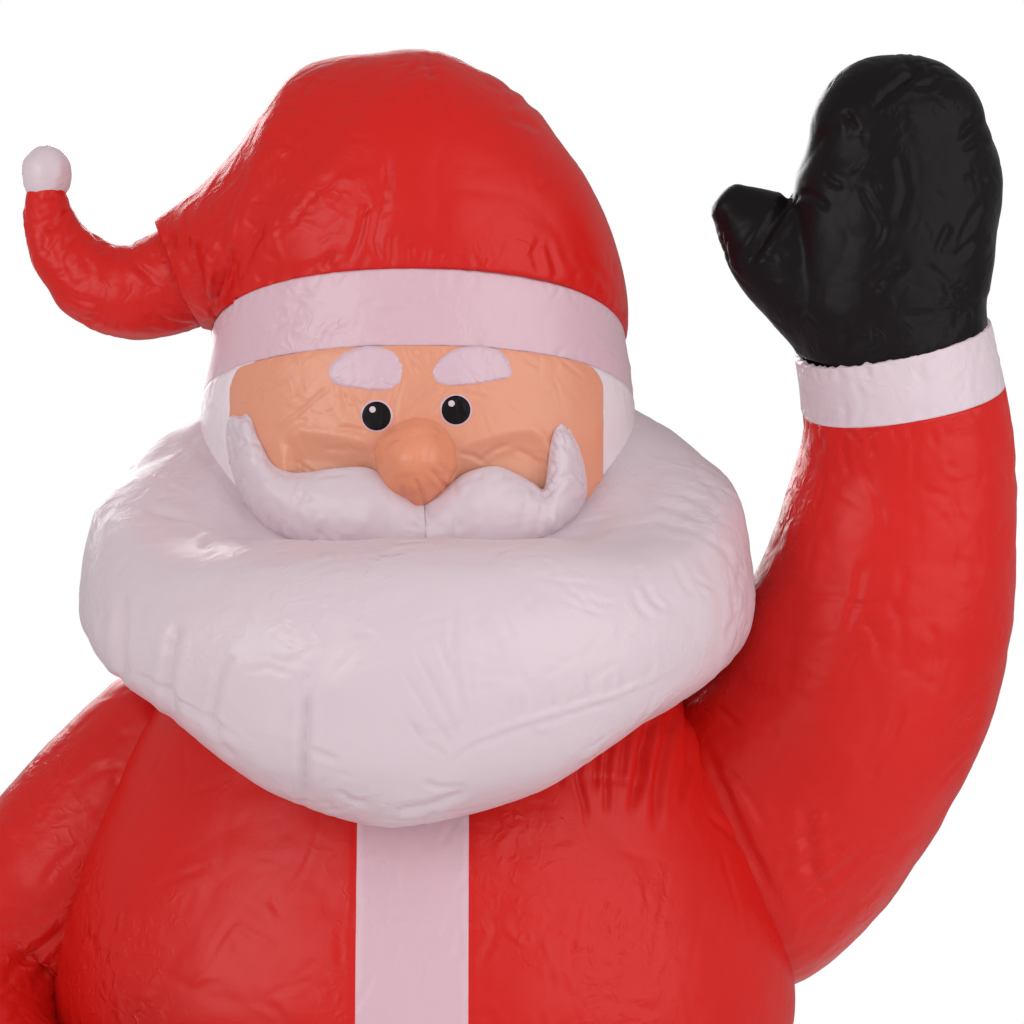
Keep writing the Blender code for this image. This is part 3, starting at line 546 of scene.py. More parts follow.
def head_grid(low, low_tilt, high, high_tilt, rows, columns):
    rings = []
    for share in np.arange(rows + 1) / rows:
        tilt = low_tilt + (high_tilt - low_tilt) * share
        rings.append(head_ring(low + (high - low) * share, tilt, columns))
    return np.stack(rings)


def head_front(x, z):
    """The head's front surface at these places."""
    width, depth = at_key(HEAD_PROFILE, (z - NECK_LEVEL) / HEAD_HEIGHT)
    share = np.clip(np.abs(x) / (HEAD_WIDTH / 2 * width), 0.0, 0.995)
    return -HEAD_DEPTH / 2 * depth * (1.0 - share**SQUARENESS) ** (1 / SQUARENESS)


def on_face(u, v, proud=0.0):
    """The points this far in front of the head that show at these pixels."""
    y = np.full(np.shape(u), -HEAD_DEPTH / 2)
    for _ in range(5):
        points = beyond_pixels(u, v, y)
        y = head_front(points[..., 0], points[..., 2]) - proud
    return beyond_pixels(u, v, y)


FRONT_OF_HEAD = HEAD_DEPTH / 2 * 0.98
BAND_FOOT = (
    BAND_TOP + FRONT_OF_HEAD * (math.tan(BAND_TOP_TILT) - math.tan(BAND_FOOT_TILT)) - BAND_FRONT_HEIGHT
)

# The face panel's edges, the levels below which they slant in, and how steeply
FACE_LEFT = -0.2635
FACE_RIGHT = 0.2604
FACE_SLANT_FROM = 1.770
FACE_SLANT = 0.72
FACE_LEFT_SLANT_FROM = 1.80
FACE_LEFT_SLANT = 0.47
FACE_CORNER = 0.028
FACE_FOOT = 1.60

# Folds of the face: half width in pixels, depth in millimetres, then the line's pixels
FACE_FOLDS = (
    (2.2, 2.2, (333, 384), (297, 415), (262, 441)),
    (4.0, 2.5, (286, 438), (293, 456), (297, 478)),
    (2.2, 1.8, (341, 388), (348, 410)),
    (2.2, 1.5, (355, 396), (366, 420)),
    (2.4, 2.2, (403, 377), (393, 412)),
    (2.4, 2.5, (404, 346), (418, 380)),
    (2.4, 2.6, (441, 381), (417, 403), (400, 422)),
    (2.2, 2.0, (432, 376), (404, 402)),
    (2.2, 2.0, (447, 388), (431, 417)),
    (2.2, 1.6, (432, 352), (428, 366)),
    (2.2, 1.6, (412, 350), (424, 366)),
    (2.4, 2.2, (482, 460), (496, 449), (514, 443)),
    (2.4, 2.2, (516, 449), (532, 456), (547, 466)),
    (2.4, 1.2, (516, 384), (537, 392), (566, 398)),
    (2.2, 1.3, (521, 357), (541, 369)),
    (2.2, 1.3, (458, 392), (492, 400)),
    (2.2, 1.8, (456, 452), (474, 456), (490, 464)),
    (2.2, 1.5, (322, 448), (350, 451)),
    (2.2, 1.2, (240, 400), (262, 392), (290, 378)),
    (2.2, 1.2, (560, 360), (585, 380)),
    (2.2, 1.4, (366, 432), (350, 428), (334, 430)),
)


# Each cheek's lower line in pixels, and how far the face falls back below it over how many pixels
CHEEKS = (
    (((284, 452), (290, 438), (302, 431), (320, 433), (347, 437), (380, 446)), 0.011, 30),
    (((450, 449), (482, 438), (512, 431), (530, 429), (544, 438), (552, 455)), 0.011, 30),
)


def under_cheeks(points):
    """How the face falls back below each cheek."""
    u, v = pixels(points)
    height = np.zeros(u.shape)
    for line, depth, reach in CHEEKS:
        line = np.array(line, float)
        below = v - np.interp(u, line[:, 0], line[:, 1])
        beside = smoothstep(line[0, 0], line[0, 0] + 14, u)
        beside = beside * (1 - smoothstep(line[-1, 0] - 14, line[-1, 0], u))
        height -= depth * beside * smoothstep(-3.0, reach, below)
        height += depth * 0.25 * beside * np.exp(-((below / 7.0) ** 2))
    return height


def face_border(z, top):
    """The face panel's left and right edge at these levels, rounded at the upper corners."""
    below = np.clip((top - z) / FACE_CORNER, 0.0, 1.0)
    inset = FACE_CORNER * (1.0 - np.sqrt(np.clip(1 - (1 - below) ** 2, 0, 1)))
    slant = np.clip(FACE_SLANT_FROM - z, 0.0, None) * FACE_SLANT
    left_slant = np.clip(FACE_LEFT_SLANT_FROM - z, 0.0, None) * FACE_LEFT_SLANT
    return FACE_LEFT + inset + left_slant, FACE_RIGHT - inset - slant


def make_face():
    rows, columns = fine(130), fine(190)
    across = np.linspace(0.0, 1.0, columns + 1)[None, :]
    down = np.linspace(0.0, 1.0, rows + 1)[:, None] ** 1.1
    x = FACE_LEFT + (FACE_RIGHT - FACE_LEFT) * across + 0 * down
    for _ in range(3):
        top = np.full(x.shape, BAND_FOOT)
        for _ in range(4):
            top = BAND_FOOT - head_front(x, top) * math.tan(BAND_FOOT_TILT)
        z = top - (top - FACE_FOOT) * down
        left, right = face_border(z, top)
        x = left + (right - left) * across
    grid = np.stack([x, head_front(x, z), z], axis=-1)
    sides = np.minimum(x - left, right - x)
    edge = np.minimum(sides, top - z)
    wide = 2.0
    relief = 0.0006 + puffed(edge, 0.006, 0.0022)
    relief += gathers(x + 1.0, wide, top - z, 0.020, 0.028, 0.0010, 11)
    relief += gathers(z, wide, x - left, 0.024, 0.022, 0.0008, 12)
    relief += gathers(z, wide, right - x, 0.024, 0.022, 0.0008, 13)
    relief += folds(grid, FACE_FOLDS) + under_cheeks(grid)
    normals = grid_normals(grid, closed=False)
    relief += crinkles(grid, normals, 40, 14, spread=0.03, depth=0.0009, width=0.003)
    relief += crumple(grid, 0.05, 15) * 0.0010
    mesh = grid_mesh("face", moved(grid, relief, closed=False), closed=False)
    link("face_skin", mesh, ["face"], SKIN)


FACE_LIP = 0.010  # How far the hair's edge reaches under the face


def make_hair():
    """The hair panel round the head, below the hat's band."""
    hair = head_grid(NECK_LEVEL, 0.0, BAND_FOOT, BAND_FOOT_TILT, fine(60), fine(330))
    away = run_along(hair)[-1] - run_along(hair)
    run, whole = run_around(hair, -1)
    relief = gathers(run, whole, away, 0.024, 0.035, 0.0022, 16)
    relief += crinkles(hair, grid_normals(hair), 30, 17)
    relief += crumple(hair, 0.06, 18) * 0.0014
    left, right = face_border(hair[..., 2], BAND_FOOT - hair[..., 1] * math.tan(BAND_FOOT_TILT))
    in_face = np.minimum(hair[..., 0] - left, right - hair[..., 0])
    relief -= 0.006 * smoothstep(-0.001, 0.005, in_face) * (hair[..., 1] < 0)
    relief *= smoothstep(0.0, SEAM, away)
    mesh = grid_mesh("hair", moved(hair, relief), tuck_last=SEAM)

    def under_face(points):
        left, right = face_border(points[:, 2], BAND_FOOT - points[:, 1] * math.tan(BAND_FOOT_TILT))
        return (points[:, 0] > left + FACE_LIP) & (points[:, 0] < right - FACE_LIP) & (points[:, 1] < 0)

    link("hair_skin", without(mesh, under_face), ["hair"], HAIR_WHITE)


def make_band():
    band = head_grid(BAND_FOOT, BAND_FOOT_TILT, BAND_TOP, BAND_TOP_TILT, fine(34), fine(340))
    up = run_along(band)
    full = up[-1]
    run, whole = run_around(band, -1)
    nearest = np.minimum(up, full - up)
    relief = puffed(nearest, 0.012, 0.0012)
    relief += gathers(run, whole, full - up, 0.017, 0.028, 0.0022, 21)
    relief += gathers(run, whole, up, 0.026, 0.025, 0.0016, 22)
    relief += crinkles(band, grid_normals(band), 26, 24, spread=0.03, depth=0.0012)
    relief += crumple(band, 0.07, 23) * 0.0012
    relief *= smoothstep(0.0, SEAM, nearest)
    mesh = grid_mesh("band", moved(band, relief), tuck_first=SEAM, tuck_last=SEAM)
    link("band_skin", mesh, ["hat_band"], BAND_PINK)


# The crown's outline over the top, from the viewer's right to the tail: across as a share of half
# the head's width, up as a share of its height, and how deep it is there
CROWN_OUTLINE = (
    (0.956, 0.000, 0.975),
    (0.940, 0.170, 0.980),
    (0.860, 0.392, 0.985),
    (0.710, 0.603, 0.970),
    (0.497, 0.806, 0.940),
    (0.224, 0.950, 0.880),
    (0.000, 1.000, 0.815),
    (-0.255, 0.992, 0.740),
    (-0.515, 0.952, 0.665),
    (-0.676, 0.836, 0.590),
    (-0.852, 0.663, 0.515),
    (-1.045, 0.520, 0.420),
    (-1.215, 0.420, 0.300),
)
# The crease that the crown's sections fan round, from the first to the last
CROWN_PIVOT_FROM = (-0.956, 0.000)
CROWN_PIVOT_TO = (-1.010, 0.050)
CROWN_PIVOT_BEND = 0.055


def crown_ring(share, columns):
    """A section of the crown, which fans round the crease where the tail hangs from it."""
    across, up, deep = between(CROWN_OUTLINE, share)
    pivot = [a + (b - a) * share for a, b in zip(CROWN_PIVOT_FROM, CROWN_PIVOT_TO)]
    pivot[0] += CROWN_PIVOT_BEND * math.sin(math.pi * share)
    u, v = superellipse(front_turns(columns), 1.0, 1.0)
    reach = (1.0 + u) / 2
    x = (pivot[0] + (across - pivot[0]) * reach) * HEAD_WIDTH / 2
    z = BAND_TOP + (pivot[1] + (up - pivot[1]) * reach) * CROWN_HEIGHT
    y = v * deep * HEAD_DEPTH / 2
    tilt = math.tan(BAND_TOP_TILT) * (1.0 - share) ** 1.2
    return np.stack([x, y, z - y * tilt], axis=-1)


CROWN_FOLDS = (
    (5.0, 5.0, (426, 52), (428, 62), (434, 84)),
    (3.0, 2.5, (433, 84), (452, 125)),
    (3.0, 2.5, (430, 62), (410, 72), (396, 92)),
    (8.0, 4.0, (160, 226), (188, 268), (207, 322)),
    (7.0, 9.0, (190, 236), (200, 286), (208, 318)),
    (7.0, 9.0, (232, 240), (222, 282), (212, 318)),
    (8.0, 6.0, (262, 214), (238, 262), (216, 312)),
    (5.0, 3.5, (268, 214), (252, 250), (238, 290)),
    (4.0, 2.5, (206, 246), (216, 262)),
    (5.0, 2.5, (388, 150), (382, 210), (375, 258)),
    (3.5, 3.0, (368, 200), (361, 232), (348, 268)),
    (3.5, 3.0, (379, 208), (373, 240), (382, 268)),
    (3.0, 2.5, (392, 232), (391, 268)),
    (3.0, 2.5, (334, 250), (322, 272)),
    (3.0, 2.5, (411, 244), (412, 268)),
    (3.0, 2.5, (434, 246), (430, 268)),
    (3.0, 2.0, (441, 250), (437, 266)),
    (3.0, 2.2, (478, 78), (498, 90), (522, 92)),
    (4.0, 4.0, (506, 118), (524, 122), (544, 132)),
    (3.5, 3.0, (514, 104), (530, 106), (536, 112)),
    (3.0, 1.6, (532, 176), (551, 160)),
    (3.0, 1.6, (534, 188), (560, 187)),
    (4.0, 3.0, (542, 236), (533, 255), (540, 278)),
    (3.5, 3.0, (545, 238), (552, 262), (560, 280)),
    (3.0, 1.8, (572, 250), (600, 275), (612, 296)),
    (3.0, 2.0, (250, 200), (275, 202), (296, 203)),
    (3.0, 1.8, (360, 215), (372, 206)),
)


# The small knob on top: its middle, half width and foot in pixels, its half depth and height in metres
KNOB_U = 419
KNOB_PIXELS = 9
KNOB_FOOT_V = 110
KNOB_DEPTH = 0.05
KNOB_HEIGHT = 0.007


def make_crown():
    columns, rows = fine(300), fine(165)
    grid = np.stack([crown_ring(k / rows, columns) for k in range(rows + 1)])
    grid[0] = head_ring(BAND_TOP, BAND_TOP_TILT, columns)
    grid = smoothed(grid, 4)
    up = run_along(grid)
    run, whole = run_around(grid, 0)
    normals = grid_normals(grid)
    u, v = pixels(grid)
    aside, deep = (u - KNOB_U) / KNOB_PIXELS, grid[..., 1] / KNOB_DEPTH
    knob = np.exp(-(aside**2) - (deep**2)) * (v < KNOB_FOOT_V)
    relief = puffed(up, 0.012, 0.003) + KNOB_HEIGHT * knob
    relief += gathers(run, whole, up, 0.026, 0.045, 0.0030, 31)
    relief += folds(grid, CROWN_FOLDS)
    behind = grid * np.array([1.0, -1.0, 1.0])
    relief += folds(behind, CROWN_FOLDS[3:9]) * (grid[..., 1] > 0)
    relief += crinkles(grid, normals, 60, 33, spread=0.05, depth=0.0013)
    relief += crumple(grid, 0.20, 34) * 0.0050
    relief += crumple(grid, 0.06, 35) * 0.0012
    relief *= smoothstep(0.0, SEAM, up)
    mesh = grid_mesh("crown", moved(grid, relief), cap_last=True, tuck_first=SEAM)
    link("crown_skin", mesh, ["hat_crown"], RED)


TAIL_OUT = 0.55375  # of the head's width, from the middle to where the tail starts
TAIL_LEVEL = 0.0936  # above the band
# The tail's way: out to the side and up, then its radius as a share of the greatest
TAIL_SHAPE = (
    (0.000, -0.004, 1.00),
    (-0.063, -0.024, 0.92),
    (-0.123, -0.010, 0.82),
    (-0.169, 0.035, 0.645),
    (-0.192, 0.087, 0.48),
    (-0.195, 0.126, 0.375),
)


def tail_stations():
    """The hat's tail, which drops from the fold in the crown and curls up to the pompom."""
    start_x, start_z = -TAIL_OUT * HEAD_WIDTH, BAND_TOP + TAIL_LEVEL
    return [
        (start_x + x, 0.0, start_z + z, TAIL_RADIUS * share, TAIL_RADIUS * share)
        for x, z, share in TAIL_SHAPE
    ]


TAIL_FOLDS = (
    (3.5, 3.5, (70, 208), (56, 226), (40, 232)),
    (3.5, 3.0, (79, 233), (66, 246), (60, 262)),
    (3.0, 3.0, (62, 292), (80, 300), (100, 304)),
    (3.0, 3.0, (84, 326), (98, 312), (104, 300)),
    (3.5, 3.5, (128, 256), (142, 272), (162, 288)),
    (3.0, 2.5, (136, 266), (156, 276)),
    (4.0, 3.0, (122, 250), (108, 262), (100, 280)),
    (3.5, 3.0, (203, 322), (176, 312), (148, 296)),
    (3.0, 2.5, (198, 326), (168, 322), (140, 318)),
    (3.0, 2.0, (190, 290), (170, 278)),
    (3.0, 2.5, (150, 302), (172, 330)),
    (2.5, 2.0, (36, 246), (52, 258)),
    (2.5, 2.0, (48, 276), (64, 272)),
)


TAIL_DOME = 0.03
TIE_LENGTH = 0.012  # of the tail's end, smooth under the pompom


def make_tail():
    tail = swept(tail_stations(), 0.0, 1.0, fine(112), fine(108), start_dome=TAIL_DOME)
    up = run_along(tail)
    left = up[-1] - up
    run, whole = run_around(tail, len(tail) // 2)
    relief = folds(tail, TAIL_FOLDS)
    relief += gathers(run, whole, left - TIE_LENGTH, 0.022, 0.030, 0.0014, 36) * (left > TIE_LENGTH)
    relief += gathers(run, whole, up, 0.030, 0.11, 0.0040, 37)
    relief += crinkles(tail, grid_normals(tail), 40, 38, spread=0.035, depth=0.0013)
    relief += crumple(tail, 0.08, 39) * 0.0045
    mesh = grid_mesh("tail", moved(tail, relief), cap_first=True, cap_last=True)
    link("tail_skin", mesh, ["hat_tail"], RED)


POMPOM_SHIFT = (0.001, 0.0, -0.005)
POMPOM_STRETCH = (1.0, 1.0, 1.07)


def make_pompom():
    low, high = (np.array(corner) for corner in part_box("hat_pompom"))
    centre = (low + high) / 2 + POMPOM_SHIFT
    half = (high - low) / 2 * POMPOM_STRETCH
    grid = ball(centre, half, fine(50), fine(80))
    relief = crumple(grid, 0.04, 41) * 0.0022 + crinkles(grid, grid_normals(grid), 8, 42, 0.02, 0.0008, 0.003)
    mesh = grid_mesh("pompom", moved(grid, relief), cap_first=True, cap_last=True)
    link("pompom_skin", mesh, ["hat_pompom"], WHITE)


def ball(centre, half, rows, columns):
    """A grid over a stretched ball, fuller in its lower half, from its foot to its top."""
    tilts = np.linspace(-math.pi / 2 + 0.03, math.pi / 2 - 0.03, rows)[:, None]
    angles = turns(columns)[None, :]
    wide = np.where(tilts < 0, np.abs(np.cos(tilts)) ** 0.55, np.cos(tilts))
    x = centre[0] + half[0] * wide * np.cos(angles)
    y = centre[1] + half[1] * wide * np.sin(angles)
    z = centre[2] + half[2] * np.sin(tilts) * np.ones_like(angles)
    return np.stack([x, y, z], axis=-1)


# Limbs


def swept(stations, share_from, share_to, rows, columns, hint=(0, 1, 0), start_dome=0.0, end_dome=0.0):
    """A tube's grid along the smooth path through stations of (x, y, z, half width, half depth).

    A dome, this long, may close its start or its end."""
    shares = np.linspace(share_from, share_to, rows + 1)
    nudge = 0.01
    here = between(stations, shares)
    ahead = between(stations, np.minimum(shares + nudge, 1.0))[:, :3]
    behind = between(stations, np.maximum(shares - nudge, 0.0))[:, :3]
    tangent = ahead - behind
    tangent /= np.linalg.norm(tangent, axis=1, keepdims=True)
    centre, width, depth = here[:, :3], here[:, 3], here[:, 4]
    for dome, end, way in ((start_dome, 0, -1.0), (end_dome, -1, 1.0)):
        if not dome:
            continue
        lift = np.radians(np.linspace(0, 88, max(6, rows // 6))[1:])
        if way < 0:
            lift = lift[::-1]
        more = centre[end] + tangent[end] * (way * dome * np.sin(lift))[:, None]
        wide, deep = width[end] * np.cos(lift), depth[end] * np.cos(lift)
        same = np.repeat(tangent[end][None], len(lift), axis=0)
        parts = ((more, centre), (same, tangent), (wide, width), (deep, depth))
        order = 1 if way < 0 else -1
        centre, tangent, width, depth = (np.concatenate(pair[::order]) for pair in parts)
    hint = np.array(hint, float)
    front = hint - tangent * (tangent @ hint)[:, None]
    front /= np.linalg.norm(front, axis=1, keepdims=True)
    side = np.cross(front, tangent)
    u, v = superellipse(turns(columns), 1.0, 1.0)
    return (
        centre[:, None]
        + side[:, None] * (u[None] * width[:, None])[..., None]
        + front[:, None] * (v[None] * depth[:, None])[..., None]
    )


def path_length(stations):
    points = between(stations, np.linspace(0, 1, 41))[:, :3]
    return np.linalg.norm(np.diff(points, axis=0), axis=1).sum()


def limb(shape, radius, way):
    side = COAT_WIDTH / 2
    return [(way * (side + out), y, NECK_LEVEL + z, w * radius, d * radius) for out, y, z, w, d in shape]


# Stations of the arms, hands and thumbs: out from the coat's widest side, y, up from the neck's level,
# then half width and half depth as shares of the arm's radius
RAISED_ARM = (
    (-0.2195, 0.055, -0.285, 1.030, 0.86),
    (-0.0975, 0.040, -0.258, 1.050, 0.88),
    (-0.0085, 0.026, -0.178, 1.000, 0.86),
    (0.0625, 0.014, -0.082, 0.940, 0.86),
    (0.1185, 0.000, 0.050, 0.905, 0.84),
    (0.1475, -0.020, 0.170, 0.815, 0.79),
    (0.1615, -0.045, 0.291, 0.725, 0.71),
    (0.1555, -0.075, 0.380, 0.672, 0.66),
    (0.1355, -0.100, 0.475, 0.648, 0.62),
)
RAISED_HAND = (
    (0.1355, -0.100, 0.475, 0.622, 0.59),
    (0.1235, -0.112, 0.540, 0.685, 0.58),
    (0.1315, -0.128, 0.618, 0.683, 0.55),
    (0.1415, -0.142, 0.704, 0.665, 0.50),
    (0.1375, -0.152, 0.768, 0.572, 0.42),
)
RAISED_THUMB = (
    (0.0625, -0.115, 0.535, 0.470, 0.42),
    (-0.0155, -0.118, 0.592, 0.375, 0.35),
    (-0.0645, -0.122, 0.637, 0.275, 0.26),
    (-0.0995, -0.124, 0.668, 0.150, 0.15),
)
LOWERED_ARM = (
    (-0.2035, 0.030, -0.142, 0.980, 0.90),
    (-0.1125, 0.020, -0.232, 0.980, 0.95),
    (0.0105, -0.010, -0.355, 0.930, 0.92),
    (0.0925, -0.070, -0.450, 0.880, 0.87),
    (0.0875, -0.170, -0.540, 0.820, 0.80),
    (0.0225, -0.265, -0.600, 0.740, 0.72),
    (-0.0475, -0.335, -0.630, 0.700, 0.68),
)
LOWERED_HAND = (
    (-0.0475, -0.335, -0.630, 0.680, 0.66),
    (-0.1125, -0.392, -0.650, 0.740, 0.58),
    (-0.1825, -0.440, -0.670, 0.720, 0.50),
    (-0.2475, -0.475, -0.685, 0.600, 0.42),
)
LOWERED_THUMB = (
    (-0.0825, -0.365, -0.610, 0.400, 0.36),
    (-0.1075, -0.410, -0.530, 0.300, 0.28),
    (-0.1225, -0.430, -0.480, 0.160, 0.16),
)

# Folds: half width in pixels, depth in millimetres, then the line's pixels
RAISED_FOLDS = (
    (5.0, 4.0, (700, 735), (745, 840), (793, 935)),
    (6.0, 5.0, (806, 800), (812, 870), (830, 900)),
    (4.0, 3.5, (770, 850), (800, 840), (842, 820)),
    (4.0, 3.0, (778, 872), (812, 862), (850, 838)),
    (4.0, 3.5, (795, 905), (830, 880), (868, 850)),
    (3.5, 2.5, (722, 765), (752, 800), (770, 835)),
    (3.0, 2.0, (716, 705), (742, 730)),
    (3.5, 2.0, (886, 590), (900, 620), (905, 660)),
    (3.5, 2.0, (905, 565), (896, 610)),
    (3.0, 2.2, (845, 430), (842, 452), (850, 480)),
    (3.0, 2.2, (868, 425), (872, 460)),
    (3.0, 2.0, (905, 420), (915, 450), (912, 490)),
    (3.0, 2.0, (930, 418), (936, 452)),
    (4.0, 2.5, (862, 560), (856, 600), (842, 640)),
    (4.0, 3.0, (905, 700), (890, 745), (862, 790)),
    (3.5, 3.0, (930, 620), (938, 660), (930, 700)),
    (2.6, 2.4, (862, 612), (878, 640), (882, 672)),
    (2.6, 2.4, (868, 640), (850, 655), (842, 676)),
    (2.6, 2.0, (842, 600), (862, 606), (884, 602)),
    (2.4, 2.0, (852, 624), (876, 628), (896, 618)),
    (2.4, 2.0, (818, 690), (840, 692), (862, 688)),
    (2.6, 2.0, (952, 480), (960, 540), (958, 600)),
    (2.4, 1.8, (826, 470), (818, 500), (806, 530)),
    (2.6, 2.4, (780, 880), (792, 850), (812, 826)),
    (2.6, 2.4, (800, 925), (822, 905), (846, 890)),
    (2.4, 2.0, (880, 830), (850, 868), (820, 896)),
)
LOWERED_FOLDS = (
    (6.0, 6.0, (70, 925), (40, 950), (0, 975)),
    (5.0, 4.0, (72, 940), (50, 962), (30, 990)),
    (4.0, 3.0, (60, 905), (25, 920), (-20, 930)),
    (3.5, 2.5, (88, 842), (60, 860), (40, 890)),
    (3.5, 2.5, (98, 800), (70, 812)),
    (3.5, 2.5, (122, 764), (96, 770), (76, 790)),
)


def inside_coat(points):
    """How deep points lie inside the coat, about, in metres."""
    share = (points[..., 2] - HEM_FOOT) / COAT_HEIGHT
    width, depth = at_key(COAT_PROFILE, share)
    reach = (np.abs(points[..., 0]) / (COAT_WIDTH / 2 * width)) ** COAT_SQUARENESS
    reach += (np.abs(points[..., 1]) / (COAT_DEPTH / 2 * depth)) ** COAT_SQUARENESS
    return np.where(share > 1.0, -0.05, (1.0 - reach ** (1 / COAT_SQUARENESS)) * COAT_DEPTH / 2 * depth)


HIDDEN_DEPTH = 0.08  # inside the coat, from where a sleeve is left out


def make_arm(side, arm_shape, radius, table, seed, columns, rows):
    arm = limb(arm_shape, radius, 1 if side == "raised" else -1)
    cuff_from = 1.0 - CUFF_LENGTH / path_length(arm)
    sleeve = swept(arm, 0.0, cuff_from, fine(rows), fine(columns), start_dome=SHOULDER_DOME)
    make_sleeve(side, sleeve, table, seed)
    make_cuff(side, swept(arm, cuff_from, 1.0, fine(40), fine(columns)), seed)


def make_sleeve(side, sleeve, table, seed):
    down = run_along(sleeve)
    left = down[-1] - down
    run, whole = run_around(sleeve, -1)
    off_coat = np.clip(-inside_coat(sleeve), 0.0, None)
    relief = gathers(run, whole, left, 0.024, 0.050, 0.0030, seed)
    relief += puffed(off_coat, 0.02, 0.004) - 0.004
    relief += gathers(run, whole, off_coat, 0.024, 0.060, 0.0014, seed + 1)
    relief += folds(sleeve, table)
    relief += crinkles(sleeve, grid_normals(sleeve), 60, seed + 2, spread=0.05, depth=0.0014)
    relief += crumple(sleeve, 0.16, seed + 3) * 0.0050
    relief += crumple(sleeve, 0.05, seed + 4) * 0.0014
    relief *= smoothstep(0.0, SEAM, left)
    mesh = grid_mesh(f"{side}_sleeve", moved(sleeve, relief), tuck_last=SEAM)
    mesh = without(mesh, lambda points: inside_coat(points) > HIDDEN_DEPTH)
    link(f"{side}_sleeve_skin", mesh, [f"{side}_arm"], RED)


def make_cuff(side, cuff, seed):
    up = run_along(cuff)
    full = up[-1]
    nearest = np.minimum(up, full - up)
    run, whole = run_around(cuff, 0)
    relief = gathers(run, whole, up, 0.022, 0.035, 0.0024, seed + 5)
    relief += gathers(run, whole, full - up, 0.022, 0.025, 0.0020, seed + 6)
    relief += crumple(cuff, 0.07, seed + 7) * 0.0022
    relief += crinkles(cuff, grid_normals(cuff), 16, seed + 8, spread=0.03, depth=0.0014)
    relief *= smoothstep(0.0, SEAM, nearest)
    mesh = grid_mesh(f"{side}_cuff", moved(cuff, relief), tuck_first=SEAM, tuck_last=0.010)
    link(f"{side}_cuff_skin", mesh, [f"{side}_cuff"], WHITE)


RAISED_MITTEN_FOLDS = (
    (5.0, 9.0, (795, 190), (775, 222), (744, 268)),
    (3.5, 3.5, (800, 192), (815, 196), (832, 212)),
    (3.5, 3.0, (842, 110), (852, 122), (858, 134)),
    (4.0, 4.0, (905, 60), (912, 72), (900, 84)),
    (4.5, 5.0, (925, 72), (908, 78), (884, 96), (868, 116)),
    (3.5, 3.5, (944, 74), (930, 84), (906, 86)),
    (3.5, 3.5, (982, 118), (970, 124), (958, 140)),
    (3.5, 3.5, (990, 140), (974, 142), (962, 152)),
    (3.5, 3.0, (990, 182), (976, 176), (962, 178)),
    (3.5, 3.0, (985, 200), (974, 215), (955, 250)),
    (4.0, 3.5, (992, 240), (972, 240), (952, 262)),
    (4.0, 3.5, (952, 222), (938, 250), (944, 262)),
    (5.0, 4.0, (908, 262), (886, 276), (868, 292)),
    (3.5, 2.5, (922, 262), (958, 292), (984, 318)),
    (3.5, 2.5, (884, 222), (880, 238), (868, 252)),
    (3.5, 2.5, (862, 186), (872, 206), (884, 226)),
    (3.0, 2.0, (932, 190), (948, 204)),
    (3.5, 3.0, (822, 172), (832, 182), (846, 188)),
    (4.0, 3.0, (844, 350), (846, 336), (842, 320)),
    (3.0, 2.5, (875, 346), (872, 320)),
    (3.0, 2.0, (760, 250), (780, 262)),
    (4.0, 2.5, (898, 150), (906, 190), (896, 226)),
    (3.5, 2.5, (848, 112), (850, 140)),
    (3.0, 2.5, (962, 300), (940, 286)),
    (3.0, 2.5, (905, 318), (934, 312)),
)


MITTEN_SMOOTHING = 8
WRIST_LENGTH = 0.04  # of the mitten, inside the cuff


def make_mitten(side, hand_shape, thumb_shape, radius, table, seed, voxel):
    """A palm and a thumb blown up as one bag."""
    way = 1 if side == "raised" else -1
    hand, thumb = limb(hand_shape, radius, way), limb(thumb_shape, radius, way)
    palm = swept(hand, 0.0, 1.0, fine(80), fine(120), end_dome=hand[-1][3] * 0.85)
    finger = swept(thumb, 0.0, 1.0, fine(50), fine(80), end_dome=radius * 0.08)
    inward = (palm[0] - palm[1]) / np.linalg.norm(palm[1] - palm[0], axis=-1).mean()
    middle = palm[0].mean(axis=0)
    wrist = ((palm[0] - middle) * 0.97 + middle + inward * WRIST_LENGTH)[None]
    palm = np.concatenate([wrist, palm])
    bm = bmesh.new()
    for grid in (palm, finger):
        bm.from_mesh(grid_mesh("part", grid, cap_first=True, cap_last=True))
    mesh = bpy.data.meshes.new(f"{side}_mitten")
    bm.to_mesh(mesh)
    bm.free()
    mesh = remeshed(mesh, voxel, MITTEN_SMOOTHING)

    def relief(points, normals):
        height = folds(points, table, front=False) * (normals[:, 1] < 0.2)
        small = crinkles(points[None], normals[None], 60, seed + 2, spread=0.035, depth=0.0014, width=0.0032)
        height += small[0]
        height += crumple(points, 0.14, seed) * 0.0060
        height += crumple(points, 0.05, seed + 1) * 0.0010
        return height

    mesh = displaced(mesh, relief)
    link(f"{side}_mitten_skin", mesh, [f"{side}_mitten"], BLACK)


# Coat

# Shares of the coat's height from its hem, then of its greatest width and depth
COAT_PROFILE = (
    (0.00, 0.900, 0.930),
    (0.10, 0.935, 0.955),
    (0.22, 0.965, 0.975),
    (0.32, 0.968, 0.975),
    (0.37, 0.955, 0.965),
    (0.42, 0.965, 0.975),
    (0.50, 1.000, 1.000),
    (0.58, 0.987, 0.985),
    (0.67, 0.935, 0.930),
    (0.77, 0.842, 0.850),
    (0.86, 0.745, 0.755),
    (0.93, 0.650, 0.650),
    (1.00, 0.520, 0.520),
)


